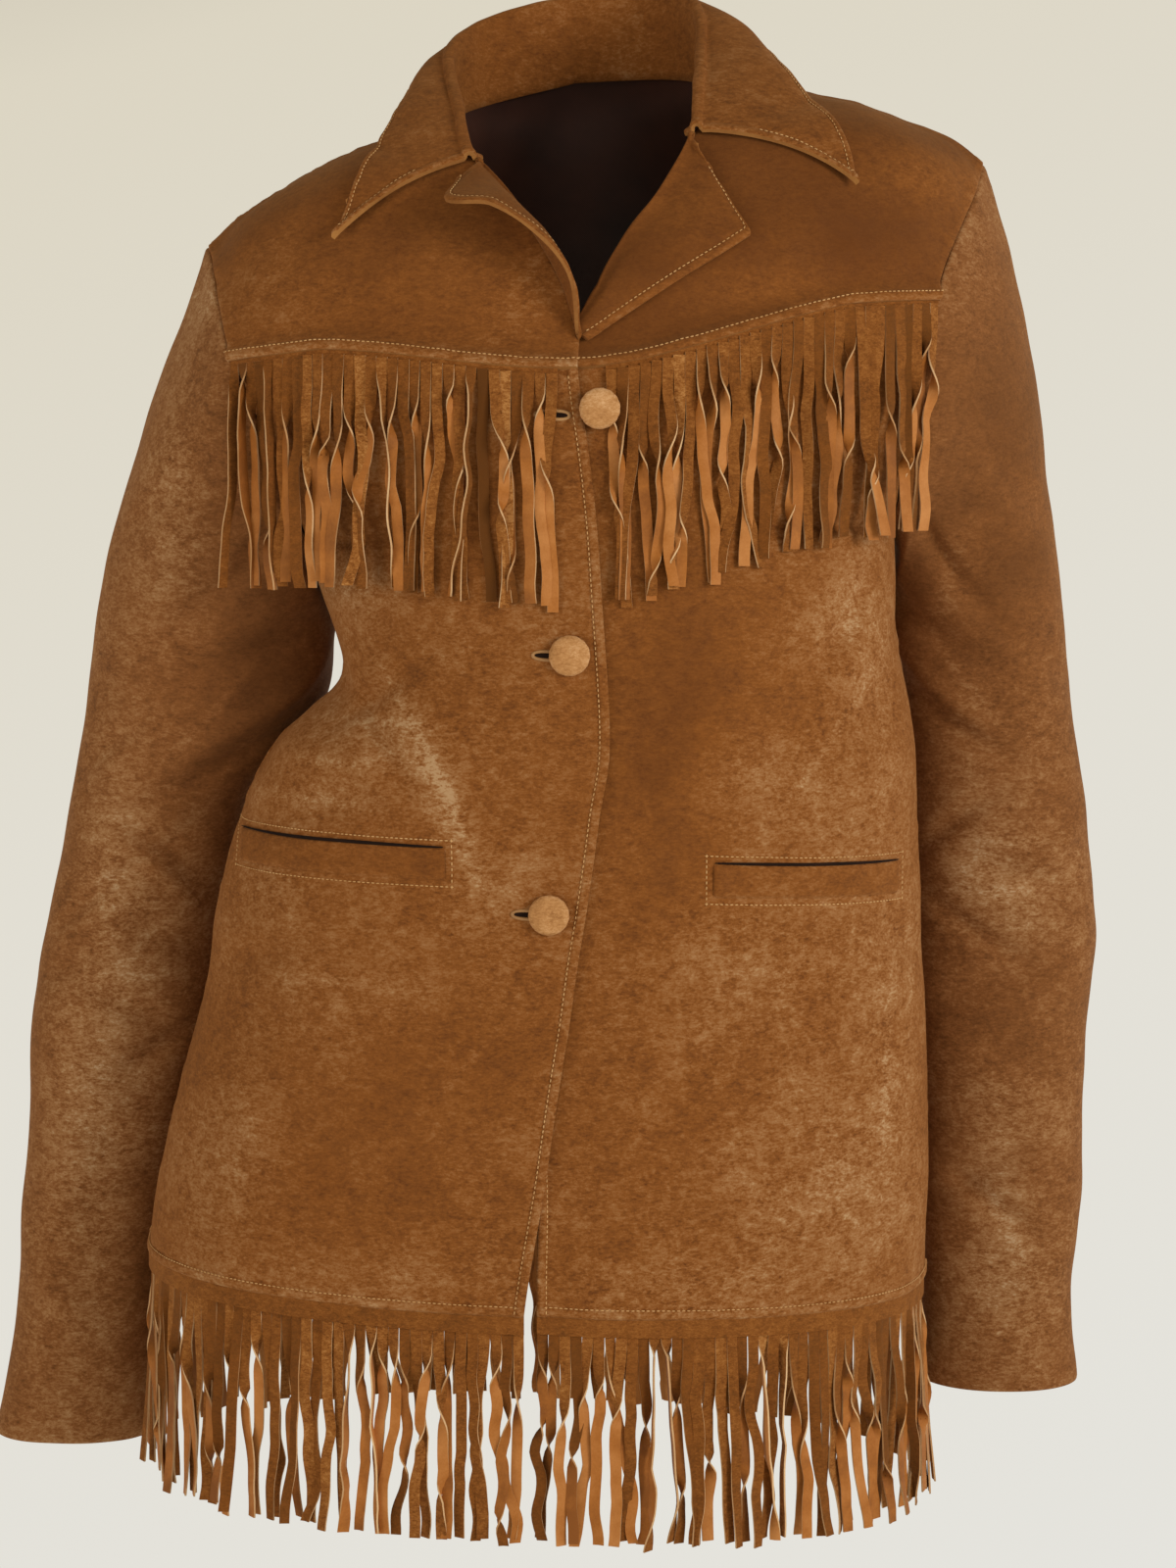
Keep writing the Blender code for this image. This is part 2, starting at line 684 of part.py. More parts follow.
def yoke_fringe_grid(side, edge_column, drop):
    """Plain reach of a front yoke fringe, hanging straight down over the body."""
    grid = []
    first = 0.0 if side < 0 else 0.07
    for row in range(6):
        fall = row / 5.0
        line = []
        for column in range(12):
            share = first + (1.0 - first) * column / 11.0
            root = front_yoke_point(side, edge_column, share, 0.0, drop)
            place = pose(np.array([root[0], 0.0, root[2] - SEAM_GAP]))
            height = place[2] - FRINGE_LENGTH * fall
            lift = 0.0026 + 0.0010 * smooth(fall * 3) + 0.006 * smooth((share - 0.7) / 0.3) * smooth(fall * 3)
            clear = placed_depth(place[0], height)
            line.append([place[0], min(root[1], clear) - lift, height])
        grid.append(line)
    return np.array(grid)


def back_fringe_grid():
    grid = []
    for row in range(6):
        fall = row / 5.0
        line = []
        for column in range(17):
            share = column / 16.0
            root = back_yoke_point(share, 0.0)
            height = root[2] - SEAM_GAP - FRINGE_LENGTH * fall
            half_width, _, back = along(BODY_SECTIONS, height)
            part = min(abs(root[0]) / half_width, 1.0)
            depth = SIDE_LINE_Y + back * (1.0 - part ** CURVE_POWER) ** (1.0 / CURVE_POWER)
            side_lift = 0.009 * smooth((abs(share - 0.5) * 2 - 0.7) / 0.3) * smooth(fall * 3)
            lift = 0.0024 + 0.003 * smooth(fall * 3) + side_lift
            place = pose(np.array([root[0], 0.0, root[2] - SEAM_GAP]))
            line.append([place[0], max(root[1], depth + 0.001) + lift, place[2] - FRINGE_LENGTH * fall])
        grid.append(line)
    return np.array(grid)


def hem_fringe_grid(kind):
    """Plain reach of a hem fringe below a front or the back."""
    grid = []
    columns = 20 if kind == "back" else 11
    for row in range(5):
        fall = row / 4.0
        line = []
        for column in range(columns + 1):
            share = column / columns
            if kind == "back":
                root = back_point(share, HEM_HEIGHT)
            elif kind == "right":
                root = front_rows(-1.0, 0, share, HEM_HEIGHT, 0.0)
            else:
                root = front_rows(1.0, 1, share, HEM_HEIGHT, OVERLAP_DROP)
            place = pose(root)
            flare = 1.0 + 0.012 * fall
            line.append([
                place[0] * flare,
                place[1] * flare,
                place[2] - SEAM_GAP - FRINGE_LENGTH * fall,
            ])
        grid.append(line)
    return np.array(grid)


def grid_normals(grid, closed):
    if closed:
        across = np.roll(grid, -1, axis=1) - np.roll(grid, 1, axis=1)
    else:
        across = np.gradient(grid, axis=1)
    down = np.gradient(grid, axis=0)
    normals = np.cross(across, down)
    lengths = np.linalg.norm(normals, axis=2, keepdims=True)
    return normals / np.maximum(lengths, 1e-12)


def outward_normals(grid):
    """Normals of a front panel, turned to the front and up."""
    normals = grid_normals(grid, False)
    facing = normals[:, :, 2:3] - normals[:, :, 1:2]
    return normals * np.where(facing < 0, -1.0, 1.0)


def inset_edges(grid, closed, gap):
    """Draw the open edges in, so neighbouring pieces stay clear at their seams."""
    result = grid.copy()

    def pull(edge, neighbour):
        step = neighbour - edge
        length = np.linalg.norm(step, axis=-1, keepdims=True)
        return edge + step / np.maximum(length, 1e-9) * np.minimum(gap, 0.4 * length)

    result[0] = pull(grid[0], grid[1])
    result[-1] = pull(grid[-1], grid[-2])
    if not closed:
        result[:, 0] = pull(result[:, 0], result[:, 1])
        result[:, -1] = pull(result[:, -1], result[:, -2])
    return result


def make_material(name, color, roughness):
    material = bpy.data.materials.new(name)
    material.use_nodes = True
    shader = material.node_tree.nodes["Principled BSDF"]
    shader.inputs["Base Color"].default_value = color
    shader.inputs["Roughness"].default_value = roughness
    shader.inputs["Sheen Weight"].default_value = 0.3
    return material


def add_object(name, points, faces, material):
    mesh = bpy.data.meshes.new(name)
    mesh.from_pydata([tuple(float(v) for v in point) for point in points], [], faces)
    mesh.update()
    for polygon in mesh.polygons:
        polygon.use_smooth = True
    mesh.materials.append(material)
    body = bpy.data.objects.new(name, mesh)
    bpy.context.collection.objects.link(body)
    return body


def turned_normals(grid, closed, centre):
    normals = grid_normals(grid, closed)
    if ((grid - centre) * normals).sum() < 0:
        normals = -normals
    return normals


def share_seam(lower, upper, centre):
    """Wall directions common to the top of one panel and the foot of the next."""
    below = turned_normals(lower, False, centre)[-1]
    above = turned_normals(upper, False, centre)[0]
    both = below + above
    return both / np.linalg.norm(both, axis=1, keepdims=True)


def add_shell(name, grid, wall, material, inside, closed=False, gap=SEAM_GAP * 0.7, seams=None):
    """Closed solid of one cloth piece: the grid is its outer face, the wall goes in."""
    centre = np.array(inside, dtype=float)
    grid = inset_edges(grid, closed, gap)
    normals = turned_normals(grid, closed, centre)
    for row, columns, directions in seams or []:
        normals[row, columns] = directions
    inner = grid - normals * wall
    rows, columns = grid.shape[0], grid.shape[1]
    points = np.concatenate([grid.reshape(-1, 3), inner.reshape(-1, 3)])
    total = rows * columns
    faces = []
    last = columns if closed else columns - 1
    for row in range(rows - 1):
        for column in range(last):
            beside = (column + 1) % columns
            a = row * columns + column
            b = row * columns + beside
            c = (row + 1) * columns + beside
            d = (row + 1) * columns + column
            faces.append((a, b, c, d))
            faces.append((a + total, d + total, c + total, b + total))
    for column in range(last):
        beside = (column + 1) % columns
        a, b = column, beside
        faces.append((b, a, a + total, b + total))
        c = (rows - 1) * columns + column
        d = (rows - 1) * columns + beside
        faces.append((c, d, d + total, c + total))
    if not closed:
        for row in range(rows - 1):
            a = row * columns
            b = (row + 1) * columns
            faces.append((a, b, b + total, a + total))
            c = row * columns + columns - 1
            d = (row + 1) * columns + columns - 1
            faces.append((d, c, c + total, d + total))
    signed = 0.0
    for face in faces:
        for index in range(1, len(face) - 1):
            p, q, r = points[face[0]], points[face[index]], points[face[index + 1]]
            signed += float(np.dot(p - centre, np.cross(q - centre, r - centre)))
    if signed < 0:
        faces = [tuple(reversed(face)) for face in faces]
    return add_object(name, points, faces, material)


def add_button(name, x, z, depth, material):
    """Domed cloth-covered disc standing on the front, its flat back towards it."""
    around = 18
    profile = [
        (0.30, 0.0000),
        (0.92, 0.0000),
        (1.00, 0.0012),
        (0.98, 0.0026),
        (0.88, 0.0040),
        (0.68, 0.0049),
        (0.36, BUTTON_RISE),
    ]
    points = [(x, depth, z)]
    for share, rise in profile:
        for index in range(around):
            turn = 2 * math.pi * index / around
            points.append((
                x + BUTTON_RADIUS * share * math.cos(turn),
                depth - rise,
                z + BUTTON_RADIUS * share * math.sin(turn),
            ))
    points.append((x, depth - BUTTON_RISE - 0.0002, z))
    last = len(points) - 1
    faces = []
    for index in range(around):
        beside = (index + 1) % around
        faces.append((0, 1 + beside, 1 + index))
        faces.append((last, 1 + (len(profile) - 1) * around + index, 1 + (len(profile) - 1) * around + beside))
        for ring in range(len(profile) - 1):
            a = 1 + ring * around + index
            b = 1 + ring * around + beside
            faces.append((a, b, b + around, a + around))
    return add_object(name, points, faces, material)


def main():
    for item in list(bpy.data.objects):
        bpy.data.objects.remove(item, do_unlink=True)
    suede = make_material("suede_body", (0.19, 0.082, 0.022, 1.0), 0.92)
    sleeve_suede = make_material("suede_sleeve", (0.17, 0.072, 0.020, 1.0), 0.92)
    fringe_hide = make_material("fringe_hide", (0.27, 0.110, 0.035, 1.0), 0.75)
    button_suede = make_material("button_suede", (0.34, 0.185, 0.075, 1.0), 0.85)
    middle = (0.0, -0.010, -0.400)
    chest = (0.0, 0.000, -0.120)

    front_right = front_panel(-1.0, 0, 0.0)
    front_left = front_panel(1.0, 1, OVERLAP_DROP)
    back = back_panel()
    yoke_right = front_yoke(-1.0, 0, 0.0)
    yoke_left = front_yoke(1.0, 1, OVERLAP_DROP)
    yoke_rear = back_yoke()
    right_seam = share_seam(front_right, yoke_right, np.array(middle))
    left_seam = share_seam(front_left, yoke_left, np.array(middle))
    rear_seam = share_seam(back, yoke_rear, np.array(middle))
    every = slice(None)
    left_cut = np.array([0.28, 0.0, 0.96])
    right_cut = np.array([-0.28, 0.0, 0.96])
    left_part = [share <= NECK_SHARE for share in BACK_COLUMNS]
    right_part = [share >= 1.0 - NECK_SHARE for share in BACK_COLUMNS]
    add_shell("front_right", front_right, WALL, suede, middle, seams=[(-1, every, right_seam)])
    add_shell("front_left", front_left, WALL, suede, middle, seams=[(-1, every, left_seam)])
    add_shell("back_body", back, WALL, suede, middle, seams=[(-1, every, rear_seam)])
    cuts = [(0, every, right_seam), (-1, every, right_cut)]
    add_shell("yoke_front_right", yoke_right, WALL, suede, chest, seams=cuts)
    cuts = [(0, every, left_seam), (-1, every, left_cut)]
    add_shell("yoke_front_left", yoke_left, WALL, suede, chest, seams=cuts)
    cuts = [(0, every, rear_seam), (-1, left_part, left_cut), (-1, right_part, right_cut)]
    add_shell("yoke_back", yoke_rear, WALL, suede, chest, seams=cuts)
    right_middle = (-0.250, 0.030, -0.450)
    left_middle = (0.225, 0.030, -0.450)
    right = sleeve(-1.0, SLEEVE_RIGHT)
    left = sleeve(1.0, SLEEVE_LEFT)
    add_shell("sleeve_right", right, SLEEVE_WALL, sleeve_suede, right_middle, closed=True, gap=SLEEVE_GAP)
    add_shell("sleeve_left", left, SLEEVE_WALL, sleeve_suede, left_middle, closed=True, gap=SLEEVE_GAP)
    add_shell("collar", collar_grid(), 0.0018, suede, (0.0, 0.02, -0.1), gap=0.0004)
    add_shell("lapel_left", lapel_left_grid(), 0.0018, suede, chest)
    add_shell("lapel_right", lapel_right_grid(), 0.0016, suede, (-0.06, -0.07, -0.15))
    add_shell("pocket_welt_right", welt_grid(WELT_RIGHT, -1.0), 0.0020, suede, middle)
    add_shell("pocket_welt_left", welt_grid(WELT_LEFT, 1.0), 0.0020, suede, middle)
    add_shell("fringe_yoke_right", yoke_fringe_grid(-1.0, 0, 0.0), FRINGE_THICK, fringe_hide, middle)
    add_shell("fringe_yoke_left", yoke_fringe_grid(1.0, 1, OVERLAP_DROP), FRINGE_THICK, fringe_hide, middle)
    add_shell("fringe_yoke_back", back_fringe_grid(), FRINGE_THICK, fringe_hide, middle)
    for kind in ("right", "left", "back"):
        add_shell("fringe_hem_" + kind, hem_fringe_grid(kind), FRINGE_THICK, fringe_hide, (-0.03, 0.0, -0.69))

    for name, x, z, under in BUTTONS:
        add_button(name, x, z, placed_depth(x, z) - under, button_suede)


main()
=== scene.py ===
import math
import bmesh
import bpy
import numpy as np
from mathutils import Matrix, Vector
from mathutils.bvhtree import BVHTree


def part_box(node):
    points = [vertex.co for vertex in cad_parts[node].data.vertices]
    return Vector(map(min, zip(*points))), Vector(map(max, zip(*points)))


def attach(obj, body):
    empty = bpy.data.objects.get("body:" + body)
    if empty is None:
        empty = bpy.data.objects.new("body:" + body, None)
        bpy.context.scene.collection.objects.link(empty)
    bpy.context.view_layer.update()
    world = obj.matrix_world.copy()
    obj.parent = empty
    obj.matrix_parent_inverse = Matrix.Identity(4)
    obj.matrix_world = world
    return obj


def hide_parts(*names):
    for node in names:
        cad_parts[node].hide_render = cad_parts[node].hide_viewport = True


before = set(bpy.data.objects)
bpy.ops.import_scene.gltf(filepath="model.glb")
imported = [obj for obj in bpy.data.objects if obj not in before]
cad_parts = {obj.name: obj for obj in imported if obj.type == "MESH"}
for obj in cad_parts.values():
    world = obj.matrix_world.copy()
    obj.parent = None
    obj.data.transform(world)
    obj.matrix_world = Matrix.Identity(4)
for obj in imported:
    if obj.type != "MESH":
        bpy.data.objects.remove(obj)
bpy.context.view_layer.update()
print("frame loaded")


# small helpers: easing, smooth tables, colours

def smooth(value):
    value = np.clip(value, 0.0, 1.0)
    return value * value * (3.0 - 2.0 * value)


def curveOf(rows):
    # rows start with a key; gives back a smooth reading of the other columns
    table = np.array(sorted(rows), dtype=float)
    keys, values = table[:, 0], table[:, 1:]
    slopes = np.empty_like(values)
    slopes[1:-1] = (values[2:] - values[:-2]) / (keys[2:] - keys[:-2])[:, None]
    slopes[0] = (values[1] - values[0]) / (keys[1] - keys[0])
    slopes[-1] = (values[-1] - values[-2]) / (keys[-1] - keys[-2])

    def at(key):
        key = np.clip(np.asarray(key, dtype=float), keys[0], keys[-1])
        flat = key.reshape(-1)
        index = np.clip(np.searchsorted(keys, flat, side="right") - 1, 0, len(keys) - 2)
        span = (keys[index + 1] - keys[index])[:, None]
        t = (flat - keys[index])[:, None] / span
        result = (2 * t ** 3 - 3 * t ** 2 + 1) * values[index]
        result = result + (t ** 3 - 2 * t ** 2 + t) * span * slopes[index]
        result = result + (3 * t ** 2 - 2 * t ** 3) * values[index + 1]
        result = result + (t ** 3 - t ** 2) * span * slopes[index + 1]
        return result.reshape(key.shape + (values.shape[1],))
    return at


def runOf(line):
    # distance gone along a line of points at each of them
    return np.concatenate([[0.0], np.cumsum(np.linalg.norm(np.diff(line, axis=0), axis=1))])


def unit(vectors):
    return vectors / np.maximum(np.linalg.norm(vectors, axis=-1, keepdims=True), 1e-12)


def signedPower(value, power):
    return np.sign(value) * np.abs(value) ** power


def linear(hexColour):
    # sRGB hex to the linear RGBA that shaders take
    channels = [int(hexColour[i:i + 2], 16) / 255.0 for i in (1, 3, 5)]
    return tuple(c / 12.92 if c <= 0.04045 else ((c + 0.055) / 1.055) ** 2.4 for c in channels) + (1.0,)


def spaced(length, step, startRows=(), endRows=()):
    # positions 0 to 1 over a length in metres: named rows near the ends, even steps between
    first = startRows[-1] if startRows else 0.0
    last = length - (endRows[-1] if endRows else 0.0)
    count = max(int(round((last - first) / step)), 2)
    middle = np.linspace(first, last, count + 1)
    rows = list(startRows[:-1]) + list(middle) + [length - row for row in reversed(endRows[:-1])]
    if startRows and startRows[0] > 0:
        rows = [0.0] + rows
    if endRows and endRows[0] > 0:
        rows = rows + [length]
    return np.array(rows) / length


# the worn form, shared by every panel

bodyForm = {
    "squareness": 2.3,
    "sideLineY": -0.014,
    "hemHeight": -0.6305,
    "underarmHeight": -0.240,
    "yokeHeight": -0.1535,
    "yokeRise": 0.0235,
    "yokeRiseWidth": 0.155,
    "backYokeHeight": -0.146,
    "neckShare": 0.32,
    "overlapDrop": 0.0029,
}

# height: half width, front depth, back depth
bodySections = curveOf([
    (-0.780, 0.214, 0.131, 0.118),
    (-0.635, 0.212, 0.130, 0.116),
    (-0.555, 0.205, 0.128, 0.111),
    (-0.490, 0.195, 0.126, 0.105),
    (-0.443, 0.190, 0.125, 0.101),
    (-0.379, 0.179, 0.124, 0.098),
    (-0.344, 0.169, 0.124, 0.097),
    (-0.300, 0.160, 0.123, 0.099),
    (-0.257, 0.156, 0.120, 0.104),
    (-0.228, 0.159, 0.117, 0.109),
    (-0.200, 0.174, 0.114, 0.112),
    (-0.165, 0.195, 0.109, 0.113),
    (-0.132, 0.204, 0.103, 0.112),
    (-0.080, 0.208, 0.094, 0.108),
])
# height: sideways sway, sideways slope
stance = curveOf([
    (-0.780, -0.036, -0.039),
    (-0.635, -0.034, -0.039),
    (-0.555, -0.0257, -0.039),
    (-0.490, -0.0180, -0.042),
    (-0.443, -0.0157, -0.045),
    (-0.379, -0.0075, -0.043),
    (-0.344, 0.0000, -0.030),
    (-0.300, 0.0020, -0.008),
    (-0.240, 0.0010, 0.030),
    (-0.130, -0.0080, 0.087),
    (-0.063, -0.0020, 0.105),
    (-0.010, -0.0100, 0.130),
    (0.060, -0.0160, 0.190),
])
# height: edge of the upper (right) front, edge of the under (left) front
frontEdges = curveOf([
    (-0.640, -0.0050, 0.0030),
    (-0.566, -0.0008, -0.0045),
    (-0.500, 0.0010, -0.0170),
    (-0.430, 0.0070, -0.0290),
    (-0.373, 0.0070, -0.0320),
    (-0.315, 0.0025, -0.0350),
    (-0.265, -0.0010, -0.0250),
    (-0.195, -0.0025, -0.0140),
    (-0.150, -0.0040, -0.0110),
    (-0.136, -0.0020, -0.0080),
])
# angle round the left armhole from the shoulder tip over the front: x, y, z
armholeRows = [
    (0, 0.2075, 0.000, -0.063),
    (30, 0.2000, -0.030, -0.082),
    (60, 0.1900, -0.055, -0.106),
    (90, 0.1810, -0.071, -0.132),
    (115, 0.1700, -0.076, -0.165),
    (140, 0.1600, -0.068, -0.200),
    (160, 0.1560, -0.045, -0.228),
    (180, 0.1555, -0.012, -0.240),
    (200, 0.1565, 0.025, -0.230),
    (220, 0.1600, 0.050, -0.205),
    (245, 0.1680, 0.066, -0.168),
    (270, 0.1780, 0.068, -0.132),
    (300, 0.1900, 0.050, -0.100),
    (330, 0.2010, 0.025, -0.075),
    (360, 0.2075, 0.000, -0.063),
]
armhole = curveOf(armholeRows)
armholeFrontAngle = curveOf([(row[3], row[0]) for row in armholeRows if 90 <= row[0] <= 180])
armholeBackAngle = curveOf([(row[3], row[0]) for row in armholeRows if 180 <= row[0] <= 270])
# share of the shoulder seam from the neck: x, y, z
shoulderSeam = curveOf([
    (0.0, 0.0750, 0.005, -0.010),
    (0.2, 0.1050, 0.004, -0.0145),
    (0.4, 0.1380, 0.002, -0.0235),
    (0.6, 0.1650, 0.001, -0.0350),
    (0.8, 0.1900, 0.000, -0.0480),
    (1.0, 0.2075, 0.000, -0.0630),
])
# share of the front neck edge from the closing point up: x, y, z
neckEdge = curveOf([
    (0.00, 0.0000, -0.1100, -0.1360),
    (0.22, 0.0125, -0.1010, -0.0985),
    (0.42, 0.0310, -0.0885, -0.0705),
    (0.62, 0.0530, -0.0700, -0.0390),
    (0.82, 0.0690, -0.0320, -0.0190),
    (1.00, 0.0750, 0.0050, -0.0100),
])
# folds of the body: side, angle, height, lean, half length, width, depth (minus is a trough)
bodyFolds = [
    (-1, 60, -0.330, 0.35, 0.100, 0.016, -0.0045),
    (-1, 52, -0.352, 0.10, 0.110, 0.015, 0.0040),
    (-1, 48, -0.382, -0.30, 0.090, 0.016, -0.0030),
    (1, 62, -0.315, 0.45, 0.110, 0.020, -0.0035),
    (1, 56, -0.350, 0.10, 0.090, 0.018, 0.0025),
    (-1, 128, -0.325, 0.20, 0.120, 0.018, -0.0040),
    (1, 128, -0.335, -0.15, 0.120, 0.018, -0.0040),
    (1, 150, -0.300, 0.35, 0.100, 0.016, 0.0030),
    (-1, 44, -0.318, -0.55, 0.050, 0.008, -0.0027),
    (-1, 38, -0.348, 0.80, 0.055, 0.008, -0.0031),
    (-1, 30, -0.372, 0.45, 0.050, 0.007, 0.0020),
    (-1, 34, -0.402, 0.15, 0.060, 0.008, -0.0020),
    (-1, 58, -0.462, -0.20, 0.055, 0.009, -0.0026),
    (-1, 40, -0.480, 0.10, 0.060, 0.010, 0.0017),
    (-1, 30, -0.560, 0.50, 0.060, 0.012, -0.0020),
    (1, 46, -0.292, 0.75, 0.060, 0.009, -0.0027),
    (1, 34, -0.345, -0.60, 0.055, 0.010, -0.0020),
    (1, 48, -0.385, 0.25, 0.060, 0.009, 0.0020),
    (1, 66, -0.440, -0.35, 0.055, 0.010, -0.0024),
    (1, 44, -0.500, 0.20, 0.070, 0.012, -0.0020),
    (1, 26, -0.570, -0.30, 0.060, 0.012, 0.0020),
    (-1, 160, -0.290, -0.30, 0.070, 0.010, -0.0031),
    (-1, 150, -0.380, 0.30, 0.080, 0.010, -0.0027),
    (1, 165, -0.370, -0.20, 0.080, 0.012, -0.0031),
    (1, 140, -0.450, 0.35, 0.070, 0.011, 0.0024),
    (-1, 135, -0.520, -0.20, 0.080, 0.013, -0.0024),
]
waistFold = {"depth": 0.023, "height": -0.316, "reachUp": 0.060, "reachDown": 0.030}


def pose(points):
    # the upright form takes the wearer's easy, leaning stance
    swaySlope = stance(points[..., 2])
    result = points.copy()
    result[..., 0] = points[..., 0] + swaySlope[..., 0]
    result[..., 2] = points[..., 2] + points[..., 0] * swaySlope[..., 1]
    return result


def upright(x, z):
    height = np.asarray(z, dtype=float).copy()
    for _ in range(5):
        swaySlope = stance(height)
        height = z - (x - swaySlope[..., 0]) * swaySlope[..., 1]
    return x - stance(height)[..., 0], height


def foldMove(angle, height):
    move = np.zeros(np.broadcast(angle, height).shape)
    for side, middle, foldHeight, lean, length, width, depth in bodyFolds:
        run = np.radians(angle - side * middle) * 0.15 * side
        off = (height - foldHeight) - lean * run
        fade = np.where(np.abs(run) < length, np.cos(np.clip(run / length, -1, 1) * math.pi / 2) ** 2, 0.0)
        crisp = 1.0 if width > 0.0125 else 1.35
        move = move + crisp * depth * fade * np.exp(-(off / width) ** 2)
    return move


def waistMove(angle, height):
    off = height - waistFold["height"]
    reach = np.where(off > 0, waistFold["reachUp"], waistFold["reachDown"])
    fade = np.maximum(np.cos(np.radians(angle + 97)), 0.0) ** 2.2
    return waistFold["depth"] * fade * np.exp(-(off / reach * 1.35) ** 2)


def bodyPoint(angle, height, out=0.0):
    sections = bodySections(height)
    turn = np.radians(angle)
    power = 2.0 / bodyForm["squareness"]
    across = signedPower(np.sin(turn), power)
    ahead = signedPower(np.cos(turn), power)
    depth = np.where(ahead > 0, sections[..., 1], sections[..., 2])
    wrapped = (angle + 180) % 360 - 180
    out = out + foldMove(wrapped, height) - waistMove(angle, height)
    return np.stack([
        sections[..., 0] * across + out * np.sin(turn),
        bodyForm["sideLineY"] - depth * ahead - out * np.cos(turn),
        height + 0.0 * across,
    ], axis=-1)


def angleAt(x, height):
    share = np.minimum(np.abs(x) / bodySections(height)[..., 0], 1.0)
    return np.sign(x) * np.degrees(np.arcsin(share ** (bodyForm["squareness"] / 2.0)))


def yokeHeight(x):
    rise = bodyForm["yokeRise"] * smooth(np.abs(x) / bodyForm["yokeRiseWidth"])
    return np.minimum(bodyForm["yokeHeight"] + rise, armholeRows[3][3])


def backYokeHeight(share):
    rise = smooth((np.abs(share - 0.5) * 2.0) / 0.85)
    return bodyForm["backYokeHeight"] + (armholeRows[3][3] - bodyForm["backYokeHeight"]) * rise


def frontPoint(piece, share, height):
    # share 0 at the front edge, 1 at the side seam or the armhole
    side, column = piece["side"], piece["edgeColumn"]
    share, height = np.broadcast_arrays(np.asarray(share, float), np.asarray(height, float))
    start = angleAt(frontEdges(height)[..., column], height)
    above = height > bodyForm["underarmHeight"]
    hole = armhole(armholeFrontAngle(np.maximum(height, bodyForm["underarmHeight"]))[..., 0])
    end = np.where(above, angleAt(hole[..., 0], height), 90.0)
    angle = start + (side * end - start) * share
    point = bodyPoint(angle, height)
    upperEdge = frontEdges(height)[..., 0]
    inset = piece["drop"] * (1.0 - smooth((point[..., 0] - upperEdge - 0.004) / 0.035))
    point = bodyPoint(angle, height, -inset)
    goal = hole * np.array([side, 1.0, 1.0])
    shift = (goal - bodyPoint(side * end, height)) * (share ** 3)[..., None]
    return point + np.where(above[..., None], shift, 0.0)


def backPoint(share, height):
    share, height = np.broadcast_arrays(np.asarray(share, float), np.asarray(height, float))
    above = height > bodyForm["underarmHeight"]
    hole = armhole(armholeBackAngle(np.maximum(height, bodyForm["underarmHeight"]))[..., 0])
    across = np.minimum(hole[..., 0] / bodySections(height)[..., 0], 1.0)
    end = 180.0 - np.degrees(np.arcsin(across ** (bodyForm["squareness"] / 2.0)))
    end = np.where(above, end, 90.0)
    angle = end + (360.0 - 2.0 * end) * share
    point = bodyPoint(angle, height)
    for weight, mirror in ((1.0 - share, 1.0), (share, -1.0)):
        plain = bodyPoint(end if mirror > 0 else 360.0 - end, height)
        shift = (hole * np.array([mirror, 1.0, 1.0]) - plain) * (weight ** 3)[..., None]
        point = point + np.where(above[..., None], shift, 0.0)
    return point


def coons(bottom, top, left, right, s, t):
    # bottom and top run along s, left and right along t
    ruledT = (1 - t)[:, None, None] * bottom[None] + t[:, None, None] * top[None]
    ruledS = (1 - s)[None, :, None] * left[:, None] + s[None, :, None] * right[:, None]
    w00 = ((1 - t)[:, None] * (1 - s)[None])[..., None]
    w10 = ((1 - t)[:, None] * s[None])[..., None]
    w01 = (t[:, None] * (1 - s)[None])[..., None]
    w11 = (t[:, None] * s[None])[..., None]
    return ruledT + ruledS - (w00 * bottom[0] + w10 * bottom[-1] + w01 * top[0] + w11 * top[-1])


def frontSeamPoint(piece, share):
    share = np.asarray(share, float)
    guess = frontPoint(piece, share, np.full(share.shape, bodyForm["yokeHeight"]))
    return frontPoint(piece, share, yokeHeight(guess[..., 0]))


def neckPull(side, up):
    # the right side of the neck opening is pulled a little wider than the left
    return np.where(side < 0, -0.0065 * smooth(up / 0.30) * (1.0 - smooth((up - 0.62) / 0.38)), 0.0)


def neckLine(piece, t):
    # front edge of a yoke: the short lap below the closing point, then the roll line
    mirror = np.array([piece["side"], 1.0, 1.0])
    shift = np.array([frontEdges(-0.136)[piece["edgeColumn"]], piece["drop"], 0.0])
    lowest = frontSeamPoint(piece, np.array([0.0]))[0]
    closing = neckEdge(0.0) * mirror + shift
    up = np.clip((t - 0.09) / 0.91, 0.0, 1.0)
    upper = neckEdge(up) * mirror + shift * np.maximum(1.0 - up / 0.12, 0.0)[:, None]
    upper[:, 0] += neckPull(piece["side"], up)
    lower = lowest + (closing - lowest) * (t / 0.09)[:, None]
    return np.where((t < 0.09)[:, None], lower, upper)


def frontYokeGrid(piece, s, t):
    mirror = np.array([piece["side"], 1.0, 1.0])
    bottom = frontSeamPoint(piece, s)
    top = shoulderSeam(s) * mirror
    left = neckLine(piece, t)
    right = armhole(90.0 - 90.0 * t) * mirror
    grid = coons(bottom, top, left, right, s, t)
    bulge = 0.0075 * np.sin(math.pi * t)[:, None] * np.sin(math.pi * s)[None]
    grid[..., 1] -= 0.75 * bulge
    grid[..., 2] += 0.6 * bulge
    return pose(grid)


